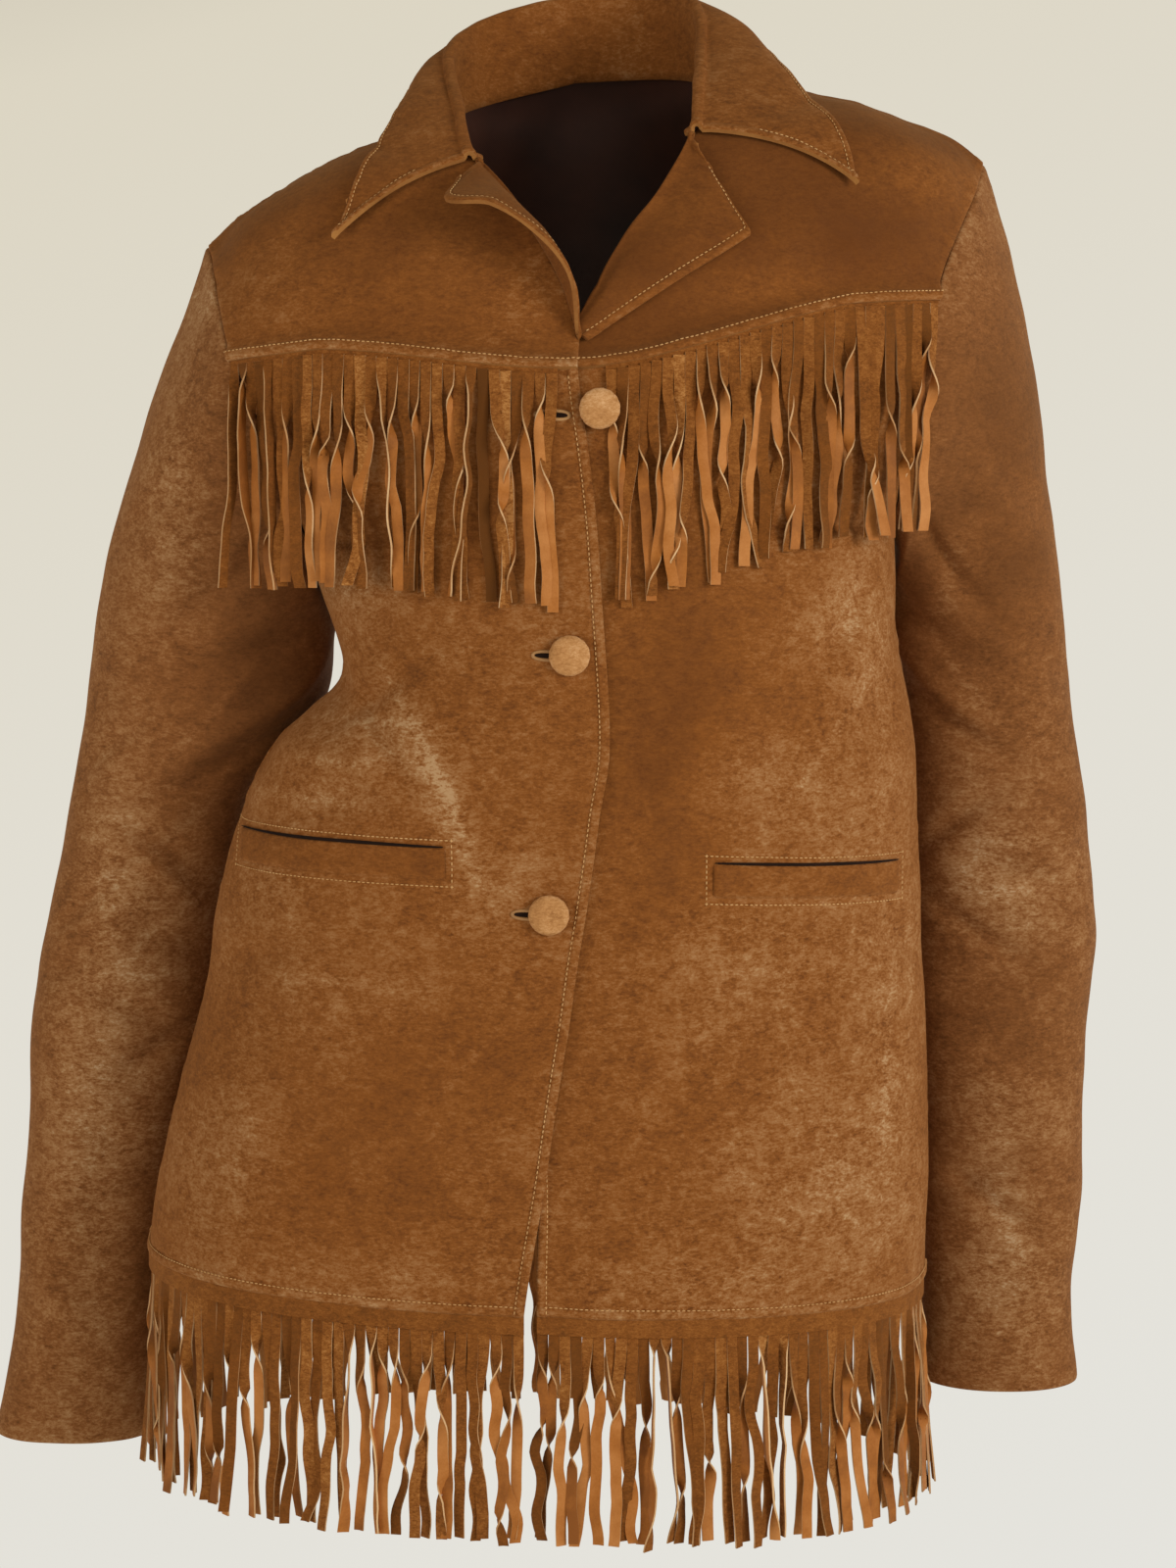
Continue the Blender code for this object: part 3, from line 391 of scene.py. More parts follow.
def easedAcross(grid, s, t):
    # the corners of the neck fade out down the cloth; the edges of the grid keep their places
    result = grid.copy()
    even = np.linspace(0, 1, 161)
    for row, up in enumerate(t):
        reach = 0.085 * float(smooth(3.2 * up * (1.0 - up)))
        if reach < 0.004:
            continue
        offsets = np.arange(-60, 61) / 160.0
        kernel = np.exp(-0.5 * (offsets / reach) ** 2)
        kernel = kernel / kernel.sum()
        for axis in (1, 2):
            line = np.interp(even, s, grid[row, :, axis])
            padded = np.concatenate([2 * line[0] - line[60:0:-1], line, 2 * line[-1] - line[-2:-62:-1]])
            result[row, :, axis] = np.interp(s, even, np.convolve(padded, kernel, mode="valid"))
    return result


def backYokeGrid(s, t):
    neckShare = bodyForm["neckShare"]
    bottom = backPoint(s, backYokeHeight(s))
    turn = np.clip((s - 0.5) / (0.5 - neckShare), -1, 1)
    bend = np.sqrt(np.maximum(1.0 - turn ** 2, 0.0))
    neck = np.stack([-0.075 * turn, 0.005 + 0.073 * bend, -0.010 + 0.026 * bend], axis=-1)
    mirror = np.array([-1.0, 1.0, 1.0])
    leftSeam = shoulderSeam(np.clip(1.0 - s / neckShare, 0, 1))
    rightSeam = shoulderSeam(np.clip((s - 1.0 + neckShare) / neckShare, 0, 1)) * mirror
    top = np.where((s > 1.0 - neckShare)[:, None], rightSeam, neck)
    top = np.where((s < neckShare)[:, None], leftSeam, top)
    side = armhole(270.0 + 90.0 * t)
    grid = coons(bottom, top, side, side * mirror, s, t)
    bulge = 0.016 * np.sin(math.pi * t)[:, None] * (np.sin(math.pi * s) ** 0.7)[None]
    grid[..., 1] += 0.8 * bulge
    grid[..., 2] += 0.5 * bulge
    return pose(easedAcross(grid, s, t))


# cloth: grids with relief become thin shells with two faces

def gridNormals(grid, closed, inside):
    if closed:
        across = np.roll(grid, -1, axis=1) - np.roll(grid, 1, axis=1)
    else:
        across = np.gradient(grid, axis=1)
    normals = unit(np.cross(across, np.gradient(grid, axis=0)))
    if ((grid - np.array(inside)) * normals).sum() < 0:
        normals = -normals
    return normals


def distanceFrom(grid, edge):
    # distance along the cloth of each point from one edge of its grid, in metres
    axis = 0 if edge in ("first", "last") else 1
    steps = np.linalg.norm(np.diff(grid, axis=axis), axis=-1)
    zero = np.zeros_like(np.take(steps, [0], axis=axis))
    if edge in ("first", "left"):
        return np.concatenate([zero, np.cumsum(steps, axis=axis)], axis=axis)
    back = np.flip(np.cumsum(np.flip(steps, axis=axis), axis=axis), axis=axis)
    return np.concatenate([back, zero], axis=axis)


def wobble(points, seed, scale):
    # soft unevenness, the same on every run: four crossed waves of one size
    rng = np.random.default_rng(seed)
    total = 0.0
    for _ in range(4):
        direction = unit(rng.normal(size=3))
        total = total + np.sin((points @ direction) / scale * 2 * math.pi + rng.uniform(0, 6.28))
    return total / 4.0


edgeKinds = {
    # raised band of the turned-in edge, where its row of stitches sinks in, how deep, edge rounding
    "folded": {"rise": 0.0007, "band": 0.0042, "stitch": 0.0048, "sink": 0.00045, "round": 0.0008},
    "heavy": {"rise": 0.0012, "band": 0.0048, "stitch": 0.0052, "sink": 0.00060, "round": 0.0011},
    "seam": {"rise": 0.0003, "band": 0.0060, "stitch": 0.0, "sink": 0.0, "round": 0.0011},
    "raw": {"rise": 0.0, "band": 0.0, "stitch": 0.0, "sink": 0.0, "round": 0.0003},
}


def edgeRelief(distance, kind):
    values = edgeKinds[kind]
    move = -values["round"] * (1.0 - smooth(distance / 0.0016)) ** 1.5
    if values["band"]:
        move = move + values["rise"] * (1.0 - smooth((distance - values["band"] * 0.85) / 0.0022))
    if values["stitch"]:
        move = move - values["sink"] * np.exp(-((distance - values["stitch"]) / 0.0008) ** 2)
    return move


def pucker(distance, runAlong, seed, depth):
    # the little gathers that a seam pulls into the cloth beside it
    rng = np.random.default_rng(seed)
    wave = np.zeros_like(runAlong)
    for pitch in (0.011, 0.017, 0.026):
        wave = wave + np.sin(runAlong / pitch * 2 * math.pi + rng.uniform(0, 6.28))
    return depth * wave / 3.0 * np.exp(-distance / 0.009) * smooth(distance / 0.0015)


def meshPiece(name, points, quads, slots, materials, smoothFaces, values=None):
    # a plain mesh from arrays; quads may repeat their last corner to stand for a triangle
    mesh = bpy.data.meshes.new(name)
    mesh.vertices.add(len(points))
    mesh.vertices.foreach_set("co", np.ascontiguousarray(points, dtype=np.float32).ravel())
    mesh.loops.add(quads.size)
    mesh.loops.foreach_set("vertex_index", np.ascontiguousarray(quads, dtype=np.int32).ravel())
    mesh.polygons.add(len(quads))
    mesh.polygons.foreach_set("loop_start", np.arange(0, quads.size, quads.shape[1], dtype=np.int32))
    mesh.polygons.foreach_set("material_index", np.ascontiguousarray(slots, dtype=np.int32))
    mesh.polygons.foreach_set("use_smooth", np.ascontiguousarray(smoothFaces, dtype=bool))
    for material in materials:
        mesh.materials.append(material)
    mesh.update(calc_edges=True)
    for key, data in (values or {}).items():
        layer = mesh.attributes.new(key, "FLOAT", "POINT")
        layer.data.foreach_set("value", np.ascontiguousarray(data, dtype=np.float32).ravel())
    piece = bpy.data.objects.new(name, mesh)
    bpy.context.collection.objects.link(piece)
    return piece


def gridQuads(rows, columns, closed):
    index = np.arange(rows * columns).reshape(rows, columns)
    beside = np.roll(index, -1, axis=1) if closed else index[:, 1:]
    here = index if closed else index[:, :-1]
    return np.stack([here[:-1], beside[:-1], beside[1:], here[1:]], axis=-1).reshape(-1, 4)


# name: grid, outer face, normals and whether it closes, kept for what lies on a piece
surfaces = {}


def clothShell(name, grid, relief, tone, wall, inside, materials, closed=False, bend=None):
    # outer face with its relief, inner face one wall in, and a rim round the open edges
    rows, columns = grid.shape[:2]
    normals = gridNormals(grid, closed, inside)
    if bend is not None:
        # deep folds take both faces with them
        grid = grid + normals * bend[..., None]
        normals = gridNormals(grid, closed, inside)
    outer = grid + normals * relief[..., None]
    inner = grid - normals * wall
    surfaces[name] = (grid, outer, normals, closed)
    points = np.concatenate([outer.reshape(-1, 3), inner.reshape(-1, 3)])
    total = rows * columns
    face = gridQuads(rows, columns, closed)
    a, b, c = (outer.reshape(-1, 3)[face[:, corner]] for corner in range(3))
    facing = (np.cross(b - a, c - a) * normals.reshape(-1, 3)[face[:, 0]]).sum()
    index = np.arange(total).reshape(rows, columns)
    loops = [index[0], index[-1][::-1]]
    if closed:
        loops = [np.append(index[0], index[0][0]), np.append(index[-1], index[-1][0])[::-1]]
    else:
        loops += [index[:, 0][::-1], index[:, -1]]
    rim = np.concatenate([np.stack([k[1:], k[:-1], k[:-1] + total, k[1:] + total], axis=-1) for k in loops])
    innerFace = face[:, ::-1] + total
    if facing < 0:
        face, innerFace, rim = face[:, ::-1], innerFace[:, ::-1], rim[:, ::-1]
    quads = np.concatenate([face, innerFace, rim])
    slots = np.concatenate([np.zeros(len(face)), np.ones(len(innerFace)), np.full(len(rim), 2)])
    smoothFaces = np.concatenate([np.ones(len(face) * 2), np.zeros(len(rim))]).astype(bool)
    values = {"tone": np.concatenate([tone.ravel(), tone.ravel()])}
    return meshPiece(name, points, quads, slots, materials, smoothFaces, values)


def register(piece, node):
    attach(piece, "root")
    if node:
        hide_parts(node)
    mesh = piece.data
    sizes = np.zeros(len(mesh.polygons))
    mesh.polygons.foreach_get("area", sizes)
    print(f"{piece.name}: {len(mesh.polygons)} faces, half surface {sizes.sum() / 2:.4f} m2")


# finishes

def addNode(tree, kind, settings=None, links=None):
    node = tree.nodes.new(kind)
    for key, value in (settings or {}).items():
        if isinstance(key, int) or key in node.inputs:
            node.inputs[key].default_value = value
        else:
            setattr(node, key, value)
    for key, source in (links or {}).items():
        tree.links.new(source, node.inputs[key])
    return node


def rampOf(tree, source, stops):
    ramp = addNode(tree, "ShaderNodeValToRGB", {}, {"Fac": source})
    elements = ramp.color_ramp.elements
    while len(elements) < len(stops):
        elements.new(0.5)
    for element, (place, colour) in zip(elements, stops):
        element.position = place
        element.color = colour if isinstance(colour, tuple) else linear(colour)
    return ramp.outputs["Color"]


suedeLooks = {
    # brushed split suede of the body: nap lying in patches, rubbed lighter where it is handled
    "body": {"deep": "#623612", "mid": "#865020", "light": "#9e7046", "wearAndPaintedLight": "#b5926c"},
    # the sleeves are cut from a slightly redder, darker skin
    "sleeve": {"deep": "#5f3818", "mid": "#83522a", "light": "#9f754d", "wearAndPaintedLight": "#b59674"},
    # the buttons are covered in a pale, worn piece
    "button": {"deep": "#9a6a3c", "mid": "#b98755", "light": "#cfa274", "wearAndPaintedLight": "#dcb58a"},
    # the brushed side of the fringe is browner than the body
    "fringe": {"deep": "#5c350f", "mid": "#7d491a", "light": "#96602c", "wearAndPaintedLight": "#b07c46"},
}


def newMaterial(name):
    material = bpy.data.materials.new(name)
    material.use_nodes = True
    tree = material.node_tree
    place = addNode(tree, "ShaderNodeTexCoord").outputs["Object"]
    return material, tree, tree.nodes["Principled BSDF"], place


def noiseOf(tree, place, scale, detail, roughness=0.5, distortion=0.0):
    settings = {"Scale": scale, "Detail": detail, "Roughness": roughness, "Distortion": distortion}
    return addNode(tree, "ShaderNodeTexNoise", settings, {"Vector": place}).outputs["Fac"]


def multiplyAdd(tree, source, factor, addend):
    # the addend is a number or another output
    isNumber = isinstance(addend, float)
    settings = {"operation": "MULTIPLY_ADD", 1: factor, **({2: addend} if isNumber else {})}
    links = {0: source, **({} if isNumber else {2: addend})}
    return addNode(tree, "ShaderNodeMath", settings, links).outputs[0]


def sumOf(tree, first, second, clamped=False):
    settings = {"operation": "ADD", "use_clamp": clamped}
    return addNode(tree, "ShaderNodeMath", settings, {0: first, 1: second}).outputs[0]


def bumpOf(tree, height, strength, distance, over=None):
    links = {"Height": height, **({"Normal": over} if over else {})}
    return addNode(tree, "ShaderNodeBump", {"Strength": strength, "Distance": distance}, links).outputs[0]


# how strongly each size of mark shows: palm, thumb, flick of the nap, nap, fibre
suedeWeights = (0.34, 0.58, 0.62, 0.74, 0.46)


def suedeMaterial(name, look, napScale=1.0, seed=0.0):
    material, tree, shader, place = newMaterial(name)
    shifted = {"Location": (seed, seed * 0.7, -seed)}
    moved = addNode(tree, "ShaderNodeMapping", shifted, {"Vector": place}).outputs[0]
    # clouds the size of a palm, thumb marks, the flick of the nap lying sideways, then its fibres
    cloud = noiseOf(tree, moved, 12.0, 3.0, 0.55, 0.6)
    marks = noiseOf(tree, moved, 66.0 * napScale, 5.0, 0.66, 0.9)
    stretch = addNode(tree, "ShaderNodeMapping", {"Scale": (0.50, 0.50, 1.0), "Rotation": (0.0, 0.18, 0.0)},
                      {"Vector": moved}).outputs[0]
    flick = noiseOf(tree, stretch, 330.0 * napScale, 3.0, 0.6, 0.4)
    nap = noiseOf(tree, stretch, 900.0 * napScale, 3.0, 0.6)
    fibre = noiseOf(tree, moved, 2100.0, 2.0, 0.7)
    tone = addNode(tree, "ShaderNodeAttribute", {"attribute_name": "tone"}).outputs["Fac"]
    level = None
    for source, weight in zip((cloud, marks, flick, nap, fibre), suedeWeights):
        part = multiplyAdd(tree, source, weight, -0.5 * weight)
        level = part if level is None else sumOf(tree, level, part)
    # the tone attribute shows in ragged flecks of the nap: lighter where the skin is rubbed and at the
    # painted highlight on the yoke's lower edge, darker where painted shade lowers it
    ragged = multiplyAdd(tree, level, 1.9, 0.60)
    wearAndPaintedLight = addNode(tree, "ShaderNodeMath", {"operation": "MULTIPLY"}, {0: tone, 1: ragged}).outputs[0]
    level = sumOf(tree, level, multiplyAdd(tree, wearAndPaintedLight, 0.36, 0.40), True)
    stops = [(0.10, look["deep"]), (0.40, look["mid"]), (0.70, look["light"]), (0.98, look["wearAndPaintedLight"])]
    tree.links.new(rampOf(tree, level, stops), shader.inputs["Base Color"])
    limits = {"From Min": 0.3, "From Max": 0.7, "To Min": 0.84, "To Max": 0.97}
    rough = addNode(tree, "ShaderNodeMapRange", limits, {"Value": marks}).outputs[0]
    tree.links.new(rough, shader.inputs["Roughness"])
    shader.inputs["Specular IOR Level"].default_value = 0.18
    shader.inputs["Sheen Weight"].default_value = 0.22
    shader.inputs["Sheen Roughness"].default_value = 0.55
    shader.inputs["Sheen Tint"].default_value = linear("#d9a56c")
    fine = bumpOf(tree, nap, 0.55, 0.00022)
    grain = bumpOf(tree, fibre, 0.35, 0.00010, fine)
    tree.links.new(bumpOf(tree, marks, 0.40, 0.00060, grain), shader.inputs["Normal"])
    return material


def liningMaterial():
    # russet satin lining: a fine twill with a low, even gloss
    material, tree, shader, place = newMaterial("liningRussetSatin")
    turned = addNode(tree, "ShaderNodeMapping", {"Rotation": (0.0, 0.8, 0.0)}, {"Vector": place}).outputs[0]
    twill = addNode(tree, "ShaderNodeTexWave", {"Scale": 380.0, "Distortion": 0.6, "Detail": 1.0},
                    {"Vector": turned}).outputs["Fac"]
    both = multiplyAdd(tree, twill, 0.25, noiseOf(tree, place, 22.0, 3.0))
    tree.links.new(rampOf(tree, both, [(0.30, "#2c1610"), (0.85, "#512c1e")]), shader.inputs["Base Color"])
    shader.inputs["Roughness"].default_value = 0.55
    shader.inputs["Sheen Weight"].default_value = 0.1
    tree.links.new(bumpOf(tree, twill, 0.3, 0.0001), shader.inputs["Normal"])
    return material


def hideMaterial(name, stops, roughness, bumpDepth, scale):
    # a smooth side, a cut edge or the near-black painted shade of the pocket mouths and buttonhole slits: the
    # colour drifts slowly over a fine grain
    material, tree, shader, place = newMaterial(name)
    tone = addNode(tree, "ShaderNodeAttribute", {"attribute_name": "tone"}).outputs["Fac"]
    cloud = noiseOf(tree, place, 55.0, 3.0, 0.6)
    grain = noiseOf(tree, place, scale, 4.0, 0.65)
    mixed = multiplyAdd(tree, grain, 0.35, cloud)
    level = sumOf(tree, mixed, multiplyAdd(tree, tone, 0.30, -0.17), True)
    tree.links.new(rampOf(tree, level, stops), shader.inputs["Base Color"])
    shader.inputs["Roughness"].default_value = roughness
    shader.inputs["Specular IOR Level"].default_value = 0.20
    tree.links.new(bumpOf(tree, grain, 0.5, bumpDepth), shader.inputs["Normal"])
    return material


suedeBody = suedeMaterial("suedeBrushedBody", suedeLooks["body"], 1.0, 0.0)          # mottled napped skin
suedeSleeve = suedeMaterial("suedeBrushedSleeve", suedeLooks["sleeve"], 1.0, 3.7)    # its darker sleeve skin
suedeButton = suedeMaterial("suedeWornButton", suedeLooks["button"], 1.4, 7.1)       # pale rubbed covering
lining = liningMaterial()                                                            # dark inside of the body
edgeSuede = hideMaterial("suedeFoldedEdge", [(0.2, "#7c4c22"), (0.9, "#a8763f")], 0.9, 0.0002, 700.0)
strandHide = hideMaterial("fringeSmoothSide", [(0.22, "#87501f"), (0.50, "#a8682c"), (0.9, "#c4854a")],
                          0.62, 0.00008, 900.0)                                       # orange-tan grain side
strandEdge = hideMaterial("fringeCutEdge", [(0.2, "#b38659"), (0.9, "#dfbc91")], 0.85, 0.0001, 900.0)
strandNap = suedeMaterial("fringeNapSide", suedeLooks["fringe"], 1.6, 1.9)            # dark brushed side
print("finishes made")


# rubbed places of the skin, and painted shade

# place x, height, reach across, reach up, lean, strength: plus is rubbed light, minus darkens as painted
# shade
bodyRubAndShade = [
    (-0.090, -0.350, 0.012, 0.040, -0.45, 0.62),
    (-0.074, -0.372, 0.009, 0.028, -0.35, 0.45),
    (-0.120, -0.262, 0.030, 0.016, 0.00, 0.80),
    (-0.118, -0.342, 0.045, 0.020, 0.15, 0.60),
    (-0.130, -0.372, 0.040, 0.010, 0.00, 0.35),
    (-0.049, -0.418, 0.030, 0.030, 0.00, 0.45),
    (-0.165, -0.415, 0.020, 0.040, 0.10, 0.45),
    (-0.190, -0.560, 0.022, 0.050, 0.00, 0.60),
    (-0.120, -0.465, 0.060, 0.012, 0.05, 0.30),
    (-0.100, -0.530, 0.070, 0.070, 0.00, -0.40),
    (-0.060, -0.610, 0.080, 0.012, -0.02, 0.35),
    (0.105, -0.372, 0.050, 0.032, 0.10, 0.30),
    (0.070, -0.352, 0.020, 0.020, 0.50, 0.50),
    (0.135, -0.300, 0.022, 0.060, -0.10, 0.75),
    (0.110, -0.285, 0.040, 0.020, 0.40, 0.35),
    (0.100, -0.452, 0.060, 0.035, 0.00, 0.60),
    (0.060, -0.440, 0.018, 0.025, 0.00, 0.45),
    (0.150, -0.500, 0.020, 0.060, 0.00, 0.55),
    (0.110, -0.565, 0.070, 0.055, 0.10, 0.80),
    (0.040, -0.615, 0.060, 0.012, 0.02, 0.35),
    (-0.088, -0.345, 0.0035, 0.036, -0.55, 1.10),
    (-0.078, -0.365, 0.0030, 0.030, -0.40, 0.95),
    (-0.072, -0.392, 0.0035, 0.018, -0.70, 0.80),
    (-0.108, -0.332, 0.0200, 0.0030, 0.00, 0.80),
    (-0.118, -0.352, 0.0300, 0.0026, 0.00, 0.60),
    (-0.150, -0.372, 0.0260, 0.0030, 0.00, 0.70),
    (-0.135, -0.462, 0.0300, 0.0026, 0.00, 0.60),
    (-0.120, -0.476, 0.0240, 0.0022, 0.00, 0.50),
    (-0.070, -0.505, 0.0030, 0.022, 0.90, 0.55),
    (-0.052, -0.590, 0.0024, 0.020, 1.10, 0.60),
    (0.150, -0.505, 0.0026, 0.060, 0.05, 0.60),
    (0.164, -0.480, 0.0026, 0.050, 0.00, 0.50),
    (0.060, -0.555, 0.0022, 0.024, -1.00, 0.50),
    (0.085, -0.575, 0.0022, 0.026, -0.90, 0.50),
    (0.118, -0.340, 0.0026, 0.030, 0.70, 0.60),
    (0.132, -0.262, 0.0026, 0.024, 0.30, 0.60),
    # painted shade: the soft shading on the under front's bulge below the chest fringe
    (0.036, -0.335, 0.034, 0.100, 0.00, -0.85),
    (0.080, -0.320, 0.030, 0.035, 0.00, -0.30),
    (0.050, -0.520, 0.040, 0.050, 0.00, -0.20),
    (-0.165, -0.115, 0.030, 0.025, 0.20, 0.50),
    (-0.035, -0.118, 0.015, 0.025, 0.30, 0.50),
    (-0.110, -0.100, 0.040, 0.025, 0.00, -0.30),
    (0.165, -0.055, 0.030, 0.015, 0.00, 0.60),
    (0.090, -0.115, 0.050, 0.012, 0.15, 0.40),
    (0.130, -0.090, 0.030, 0.020, 0.30, -0.25),
]
sleeveRubAndShade = [
    (-0.262, -0.405, 0.020, 0.060, 0.10, 0.40),
    (-0.240, -0.455, 0.030, 0.025, 0.30, 0.40),
    # painted shade on the inner side of the sleeve, next to the body
    (-0.175, -0.300, 0.035, 0.070, 0.15, -0.75),
    (-0.190, -0.370, 0.030, 0.030, 0.30, -0.35),
    (-0.205, -0.110, 0.020, 0.030, 0.00, 0.65),
    (-0.225, -0.230, 0.014, 0.060, 0.00, 0.45),
    (-0.228, -0.600, 0.014, 0.035, 0.00, 0.60),
    (-0.285, -0.570, 0.050, 0.120, 0.00, 0.95),
    (-0.290, -0.690, 0.050, 0.060, 0.00, 0.45),
    (-0.215, -0.500, 0.020, 0.030, 0.00, -0.45),
    (-0.270, -0.425, 0.0240, 0.0026, 0.00, 0.80),
    (-0.258, -0.440, 0.0260, 0.0024, 0.00, 0.80),
    (-0.276, -0.392, 0.0180, 0.0024, 0.00, 0.60),
    (-0.232, -0.402, 0.0030, 0.022, 1.20, 0.60),
    (-0.238, -0.452, 0.0030, 0.024, 1.30, 0.65),
    (-0.246, -0.478, 0.0220, 0.0024, 0.00, 0.50),
    (-0.205, -0.330, 0.0026, 0.030, 0.90, 0.55),
    (-0.190, -0.352, 0.0026, 0.026, 0.80, 0.50),
    (0.225, -0.405, 0.0220, 0.0024, 0.00, 0.80),
    (0.215, -0.432, 0.0260, 0.0026, 0.00, 0.80),
    (0.228, -0.452, 0.0200, 0.0024, 0.00, 0.65),
    (0.200, -0.320, 0.0026, 0.024, -0.80, 0.55),
    (0.212, -0.598, 0.0030, 0.024, -0.90, 0.80),
    (0.224, -0.618, 0.0030, 0.024, -0.40, 0.80),
    (0.218, -0.425, 0.026, 0.042, 0.20, 0.50),
    (0.196, -0.380, 0.016, 0.050, 0.20, 0.40),
    (0.222, -0.590, 0.013, 0.060, 0.00, 0.60),
    (0.205, -0.555, 0.018, 0.030, 0.20, 0.45),
    (0.190, -0.080, 0.020, 0.040, 0.00, 0.30),
    (0.186, -0.262, 0.012, 0.030, 0.20, 0.55),
    # painted shade on the inner side of the sleeve, beside the body's edge
    (0.172, -0.300, 0.014, 0.060, 0.00, -0.45),
    (0.215, -0.500, 0.030, 0.030, 0.00, -0.45),
    (0.215, -0.200, 0.045, 0.120, 0.00, -0.80),
    (0.225, -0.660, 0.045, 0.060, 0.00, 0.45),
]


def toneOf(points, marks, seed):
    # soft unevenness all round, and on the front the rows of a table: brushed marks, and painted shade where
    # a row is minus
    total = 0.26 * wobble(points, seed, 0.11) + 0.20 * wobble(points, seed + 5, 0.045)
    front = smooth((-points[..., 1] + 0.02) / 0.03)
    ragged = 0.35 * wobble(points, seed + 9, 0.024) + 0.25 * wobble(points, seed + 11, 0.009)
    for x, z, reachX, reachZ, lean, strength in marks:
        across = (points[..., 0] - x - lean * (points[..., 2] - z)) / reachX
        upward = (points[..., 2] - z) / reachZ
        spread = across ** 2 + upward ** 2
        total = total + front * strength * np.exp(-spread * (1.0 + 0.5 * ragged)) * (1.0 + 0.5 * ragged)
    return total


def edgeTone(distance, width=0.006, strength=0.55):
    return strength * np.exp(-(distance / width) ** 2)


# fronts, back and yokes

fineRows = (0.0005, 0.0011, 0.0018, 0.0026, 0.0034, 0.0041, 0.0046, 0.0051, 0.0057, 0.0066, 0.0080)
seamRows = (0.0006, 0.0014, 0.0024, 0.0040)
middle = (0.0, -0.010, -0.400)
chest = (0.0, 0.000, -0.120)

frontRight = {"side": -1.0, "edgeColumn": 0, "drop": 0.0, "step": 0.0030,
              "flat": (0.275, 0.543), "area": 0.117}
frontLeft = {"side": 1.0, "edgeColumn": 1, "drop": bodyForm["overlapDrop"], "step": 0.0030,
             "flat": (0.283, 0.556), "area": 0.130}
# the grid is laid out for one width, and its rows beside the front edge keep true millimetres
frontValues = {"wall": 0.0016, "across": 0.245, "kept": 0.012}
backValues = {"step": 0.0042, "wall": 0.0016, "across": 0.52, "flat": (0.538, 0.568), "area": 0.225}
yokeValues = {"step": 0.0030, "backStep": 0.0036, "wall": 0.0016, "standsProud": 0.0031, "overhang": 0.0014}


def frontShares(piece, height):
    across, kept = frontValues["across"], frontValues["kept"]
    coarse = np.linspace(0, 1, 61)
    line = frontPoint(piece, coarse[None], height[:, None])
    run = np.concatenate([np.zeros((len(height), 1)),
                          np.cumsum(np.linalg.norm(np.diff(line, axis=1), axis=-1), axis=1)], axis=1)
    places = spaced(across, piece["step"], fineRows, seamRows) * across
    near = np.minimum(places, kept)
    rest = (places - kept) / (places[-1] - kept)
    wide = kept + np.clip(rest, 0, 1)[None] * (run[:, -1:] - kept)
    wanted = np.where(places[None] <= kept, near[None], wide)
    return np.stack([np.interp(wanted[i], run[i], coarse) for i in range(len(height))])


def frontGrid(piece):
    lower = spaced(bodyForm["underarmHeight"] - bodyForm["hemHeight"], piece["step"], fineRows)
    heights = bodyForm["hemHeight"] + (bodyForm["underarmHeight"] - bodyForm["hemHeight"]) * lower
    below = pose(frontPoint(piece, frontShares(piece, heights), heights[:, None]))
    share = frontShares(piece, np.array([bodyForm["yokeHeight"]]))[0]
    guess = frontPoint(piece, share, np.full(share.shape, bodyForm["yokeHeight"]))
    top = yokeHeight(guess[:, 0])
    up = np.linspace(0, 1, 36)[1:]
    upper = bodyForm["underarmHeight"] + (top[None] - bodyForm["underarmHeight"]) * up[:, None]
    shares = np.broadcast_to(frontShares(piece, upper.mean(axis=1)), upper.shape)
    above = pose(frontPoint(piece, shares, upper))
    return np.concatenate([below, above])


def frontPiece(name, node, piece):
    grid = frontGrid(piece)
    front, side = distanceFrom(grid, "left"), distanceFrom(grid, "right")
    hem = distanceFrom(grid, "first")
    relief = edgeRelief(front, "heavy") + edgeRelief(side, "seam") + edgeRelief(hem, "heavy")
    relief = relief + pucker(side, grid[..., 2], 11, 0.0007) + pucker(front, grid[..., 2], 12, 0.0004)
    relief = relief + pucker(hem, grid[..., 0], 13, 0.0005)
    relief = relief + 0.00055 * wobble(grid, 21, 0.062) + 0.00030 * wobble(grid, 22, 0.027)
    relief = relief + weltRelief(grid)
    tone = toneOf(grid, bodyRubAndShade, 31) + edgeTone(front)
    tone = tone + edgeTone(side, 0.005, 0.35) + edgeTone(hem, 0.008, 0.45)
    shell = clothShell(name, grid, relief, tone, frontValues["wall"], middle, [suedeBody, lining, edgeSuede])
    register(shell, node)


# pocket openings: outer end x, inner end x, outer top height, inner top height, height of the welt
weltRight = {"ends": (-0.1880, -0.0775), "tops": (-0.3905, -0.3925), "height": 0.0165}
weltLeft = {"ends": (0.1550, 0.0570), "tops": (-0.4055, -0.4005), "height": 0.0175}


def weltRelief(grid):
    # the front sinks a little round each pocket opening and gapes above it
    move = np.zeros(grid.shape[:2])
    for welt in (weltRight, weltLeft):
        outer, inner = welt["ends"]
        share = np.clip((grid[..., 0] - inner) / (outer - inner), -0.3, 1.3)
        top = welt["tops"][1] + (welt["tops"][0] - welt["tops"][1]) * share
        within = smooth((0.5 - np.abs(share - 0.5) + 0.04) / 0.08)
        front = grid[..., 1] < -0.03
        above = (grid[..., 2] - top - 0.0015) / 0.0022
        move = move + np.where(front, 0.0011 * within * np.exp(-above ** 2), 0.0)
        down = (grid[..., 2] - top + welt["height"] * 0.5) / (welt["height"] * 0.62)
        move = move - np.where(front, 0.0006 * within * np.exp(-down ** 4), 0.0)
    return move


